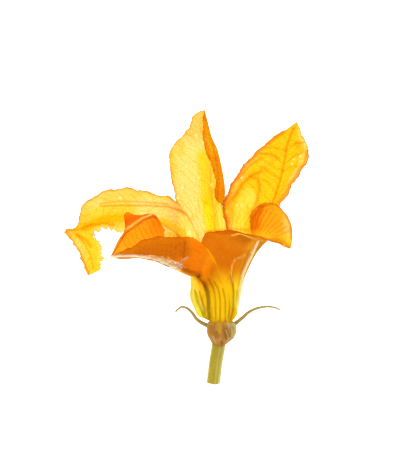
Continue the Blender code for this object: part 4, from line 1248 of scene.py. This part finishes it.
def make_stamens():
    """The column inside the tube: filaments grown together below, the twisted anther above."""
    shares = np.linspace(0, 1, STAMEN_STEPS)
    turned = 1 - smooth_step(0.0, STAMEN_TURN, shares)
    middles, side, up = ring_frames(STAMEN_AXIS, shares * (len(STAMEN_AXIS) - 1), turned)
    radius = curve(STAMEN_PROFILE[:, 1], STAMEN_PROFILE[:, 0], shares)[:, None]
    angles = ring_angles(STAMEN_SIDES)
    head = smooth_step(*ANTHER_START, shares)[:, None]
    turn = (2 * math.pi * ANTHER_TURNS * shares)[:, None]
    twisted = ANTHER_RIDGE * np.cos(ANTHER_RIDGES * (angles - turn))
    twisted += ANTHER_FOLD * np.cos(ANTHER_FOLDS * (angles - turn * 2))
    data = loft_mesh("stamen_column", loft_points(middles, side, up, radius + head * twisted))
    add_colours(data, "tint", np.tile(STAMEN_TINT, (len(data.vertices), 1)))
    add_piece("stamen_column", data, body_material("stamen_tissue"), "stamen", "stamens")


# The shortest and the longest hair of each piece, and how thick they are
HAIR_SIZES = {
    "stem_hairs": ((0.6, 1.4), 0.09),
    "calyx_hairs": ((0.4, 1.1), 0.08),
    "petal_hairs": ((0.5, 1.2), 0.08),
    "line_hairs": ((0.7, 1.6), 0.2),
}
STEM_HAIRS = 2600
CUP_HAIRS = 900
SEPAL_HAIRS = 260
# How far out a hair's root is on the stem and the calyx, as a share of the radius, and how much it leans
LOFT_ROOT = 0.97
LOFT_HAIR_LEAN = 0.5
# How far from the middle of a petal's thickness its hairs begin, and how much they lean
ROOT_HEIGHT = PETAL_THICKNESS * 0.4
PETAL_HAIR_LEAN = 0.6
# How much the hairs in lines rise from the petal, compared with how much they lean
LINE_HAIR_RISE = 0.4
LINE_HAIR_LEAN = 1.0
# A direction that no hair has, from which the directions across a hair are found
ODD_WAY = (0.31, 0.47, 0.83)


def stray(draw, amount):
    """A random leaning, up to an amount on each axis."""
    return np.array([draw.uniform(-amount, amount) for _ in range(3)])


def add_hairs(draw, name, slot, hairs, material, lowest=0.0):
    """Fine straight hairs with three sides, thin at the tip, each from its root and direction. Those that
    touch the floor or have their root too low are left out."""
    lengths, thickness = HAIR_SIZES[name]
    roots, directions = (np.array(part) for part in zip(*hairs))
    directions = unit(directions)
    tips = roots + directions * np.array([draw.uniform(*lengths) for _ in hairs])[:, None]
    is_kept = (np.minimum(roots[:, 2], tips[:, 2]) > thickness) & (roots[:, 2] > lowest)
    roots = roots[is_kept]
    directions = directions[is_kept]
    first = unit(np.cross(directions, ODD_WAY))
    second = np.cross(directions, first)
    corners = []
    for angle in ring_angles(3):
        corners.append(roots + (first * math.cos(angle) + second * math.sin(angle)) * thickness / 2)
    faces = []
    for low in range(0, len(roots) * 4, 4):
        tip = low + 3
        faces += [(low, low + 1, tip), (low + 1, low + 2, tip), (low + 2, low, tip), (low + 2, low + 1, low)]
    points = np.stack(corners + [tips[is_kept]], axis=1).reshape(-1, 3)
    add_piece(name, new_mesh(name, points, faces), material, slot)


def loft_hairs(draw, frames, count, low, high):
    """Hairs that stand on a loft, between two shares of its length."""
    middles, side, up, radii = frames
    hairs = []
    for _ in range(count):
        ring = int((low + (high - low) * draw.random()) * (len(middles) - 1))
        number = draw.randrange(radii.shape[1])
        angle = 2 * math.pi * number / radii.shape[1]
        away = side[ring] * math.cos(angle) + up[ring] * math.sin(angle)
        root = middles[ring] + away * radii[ring, number] * LOFT_ROOT
        hairs.append((root, away + stray(draw, LOFT_HAIR_LEAN)))
    return hairs


# The ribs that hairs stand on, the midrib twice as often as the others, and how many on each petal
HAIRY_RIBS = (0.0, 0.0, -0.4, 0.4, -0.8, 0.8)
RIB_HAIRS = 260
HAIR_SPREAD = 0.03
# Which row of the mesh they begin at, how much of a petal's rows they reach, and how near the midrib they are
# on its free part
FIRST_HAIRY_ROW = 3
HAIRY_SHARE = 0.75
FREE_HAIR_REACH = 0.1
# Where hairs stand close together on the sides of the tube: from and to along it, direction round it, count
SIDE_HAIRS = ((3.0, 35.5, -8, 900), (3.0, 32.0, 188, 700))
SIDE_HAIR_SPREAD = 26
# Petal hairs with roots below this height would show beside the petals that lie on the floor
HAIR_LOWEST = 1.5


def rib_hairs(draw, sheet):
    """Hairs on a petal's ribs, and on the free lobe only on its midrib."""
    columns, rows = sheet["points"].shape[:2]
    hairs = []
    for _ in range(RIB_HAIRS):
        place = draw.choice(HAIRY_RIBS) + draw.uniform(-HAIR_SPREAD, HAIR_SPREAD)
        column = min(max(round((place + 1) / 2 * (columns - 1)), 0), columns - 1)
        row = draw.randrange(FIRST_HAIRY_ROW, int(rows * HAIRY_SHARE))
        if sheet["along"][row] > MOUTH and abs(place) > FREE_HAIR_REACH:
            continue
        out = sheet["outward"][column, row]
        root = sheet["points"][column, row] + out * ROOT_HEIGHT
        hairs.append((root, out + stray(draw, PETAL_HAIR_LEAN)))
    return hairs


def side_hairs(draw, low, high, direction, count):
    """Hairs on one side of the tube."""
    hairs = []
    for _ in range(count):
        level = draw.uniform(low, high)
        angle = direction + draw.uniform(-SIDE_HAIR_SPREAD, SIDE_HAIR_SPREAD)
        root = tube_points(np.array([level]), np.array([angle]))[0]
        out = np.array((math.cos(math.radians(angle)), 0.0, math.sin(math.radians(angle))))
        hairs.append((root + out * ROOT_HEIGHT, out + stray(draw, PETAL_HAIR_LEAN)))
    return hairs


def make_hairs(sheets, stem, cup, sepals):
    """The fine hairs of the stem, the cup, the sepals and the ribs of the petals."""
    draw = random.Random(5)
    pale = hair_material("pale_hairs")
    add_hairs(draw, "stem_hairs", "stem", loft_hairs(draw, stem, STEM_HAIRS, 0.0, 1.0), pale)
    hairs = loft_hairs(draw, cup, CUP_HAIRS, 0.1, 0.98)
    for frames in sepals:
        hairs += loft_hairs(draw, frames, SEPAL_HAIRS, 0.1, 1.0)
    add_hairs(draw, "calyx_hairs", "calyx", hairs, pale)
    hairs = []
    for sheet in sheets:
        hairs += rib_hairs(draw, sheet)
    for side in SIDE_HAIRS:
        hairs += side_hairs(draw, *side)
    add_hairs(draw, "petal_hairs", "petal", hairs, hair_material("white_hairs"), HAIR_LOWEST)


# Where fine white hairs lie close together in a line on a petal: petal, count, width, and the line seen
# from above
HAIR_LINES = (
    ("front_right", 330, 0.7, RIGHT_EDGE),
    ("front_left", 330, 0.8, ((-57, 34.7), (-51, 35.1), (-44.5, 35.1), (-36.6, 34.2), (-32.3, 33.4))),
    ("front_left", 45, 0.4, ((-22.5, 31.6), (-17.5, 34.4))),
    ("front_left", 520, 2.2, ((-32.3, 32.9), (-27, 31), (-20.5, 29.6))),
)
HAIR_LINE_REACH = 0.7


def line_hairs(draw, sheet, line, count, width):
    """Hairs along a line on a petal, where the petal is topmost."""
    line = np.array(line, float)
    steps = np.linalg.norm(np.diff(line, axis=0), axis=1)
    stations = np.concatenate(((0.0,), np.cumsum(steps)))
    points = sheet["points"].reshape(-1, 3)
    outward = sheet["outward"].reshape(-1, 3)
    hairs = []
    for _ in range(count):
        station = draw.uniform(0.0, stations[-1])
        spot = np.array([np.interp(station, stations, line[:, axis]) for axis in (0, 1)])
        spot += (draw.uniform(-width, width) / 2, draw.uniform(-width, width) / 2)
        gap = np.linalg.norm(points[:, :2] - spot, axis=1)
        if gap.min() > HAIR_LINE_REACH:
            continue
        number = np.argmax(np.where(gap < HAIR_LINE_REACH, points[:, 2], -1.0))
        out = outward[number] * np.sign(outward[number, 2])
        root = points[number] + out * ROOT_HEIGHT
        hairs.append((root, out * LINE_HAIR_RISE + stray(draw, LINE_HAIR_LEAN)))
    return hairs


def make_line_hairs(sheets):
    """The white hairs that lie in lines on the raised petals."""
    draw = random.Random(8)
    hairs = []
    for name, count, width, line in HAIR_LINES:
        sheet = next(entry for entry in sheets if entry["name"] == name)
        hairs += line_hairs(draw, sheet, line, count, width)
    add_hairs(draw, "line_hairs", "petal", hairs, hair_material("silver_hairs"))


WHITE = (1.0, 1.0, 1.0, 1.0)
# The floor's glow, half its width, and how far it lies under the flower, in metres
GLOW = 2.08
FLOOR_REACH = 3.0
FLOOR_DROP = 0.0004


def make_stage():
    """A plain floor that glows softly, as a light table does."""
    material, tree, output = new_material("light_table")
    glow = add_node(tree, "ShaderNodeEmission", {"Color": WHITE, "Strength": GLOW})
    tree.links.new(glow.outputs[0], output)
    data = bpy.data.meshes.new("floor")
    mesh = bmesh.new()
    bmesh.ops.create_grid(mesh, x_segments=1, y_segments=1, size=FLOOR_REACH)
    mesh.to_mesh(data)
    mesh.free()
    floor = link_object("floor", data, material)
    floor.location.z = -FLOOR_DROP


SKY_STRENGTH = 1.2
SOFTBOX_PLACE = (-0.5, 0.5, 1.0)
SOFTBOX_SIZE = 0.8
SOFTBOX_ENERGY = 4.5


def make_light():
    """Soft light from above."""
    world = bpy.data.worlds.new("studio")
    bpy.context.scene.world = world
    world.use_nodes = True
    sky = world.node_tree.nodes["Background"]
    sky.inputs["Color"].default_value = WHITE
    sky.inputs["Strength"].default_value = SKY_STRENGTH
    lamp = bpy.data.lights.new("softbox", "AREA")
    lamp.shape = "SQUARE"
    lamp.size = SOFTBOX_SIZE
    lamp.energy = SOFTBOX_ENERGY
    softbox = bpy.data.objects.new("softbox", lamp)
    softbox.location = SOFTBOX_PLACE
    softbox.rotation_euler = Vector(SOFTBOX_PLACE).to_track_quat("Z", "Y").to_euler()
    bpy.context.scene.collection.objects.link(softbox)


# The lens and the sensor in millimetres, and the camera's place in metres
LENS = 362.8
SENSOR = 36.0
CAMERA_PLACE = (0.00697, 0.00734, 2.525)


def make_camera():
    """The camera looks straight down from afar, with +Y up in the picture."""
    lens = bpy.data.cameras.new("camera")
    lens.lens = LENS
    lens.sensor_width = SENSOR
    lens.sensor_fit = "AUTO"
    lens.clip_end = 10.0
    camera = bpy.data.objects.new("camera", lens)
    camera.location = CAMERA_PLACE
    bpy.context.scene.collection.objects.link(camera)
    bpy.context.scene.camera = camera


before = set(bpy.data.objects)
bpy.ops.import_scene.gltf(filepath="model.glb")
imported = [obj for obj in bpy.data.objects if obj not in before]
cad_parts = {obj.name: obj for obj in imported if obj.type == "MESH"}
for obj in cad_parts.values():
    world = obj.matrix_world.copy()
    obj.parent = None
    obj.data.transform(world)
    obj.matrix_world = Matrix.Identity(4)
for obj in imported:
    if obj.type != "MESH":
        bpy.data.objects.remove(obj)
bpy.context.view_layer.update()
make_camera()
make_stage()
make_light()
petal_sheets = [petal_sheet(name, number) for number, name in enumerate(PETALS)]
make_petals(petal_sheets)
stem_frames = make_stem()
cup_frames, sepal_frames = make_calyx()
make_stamens()
make_hairs(petal_sheets, stem_frames, cup_frames, sepal_frames)
make_line_hairs(petal_sheets)
bpy.context.scene.view_settings.view_transform = "Standard"
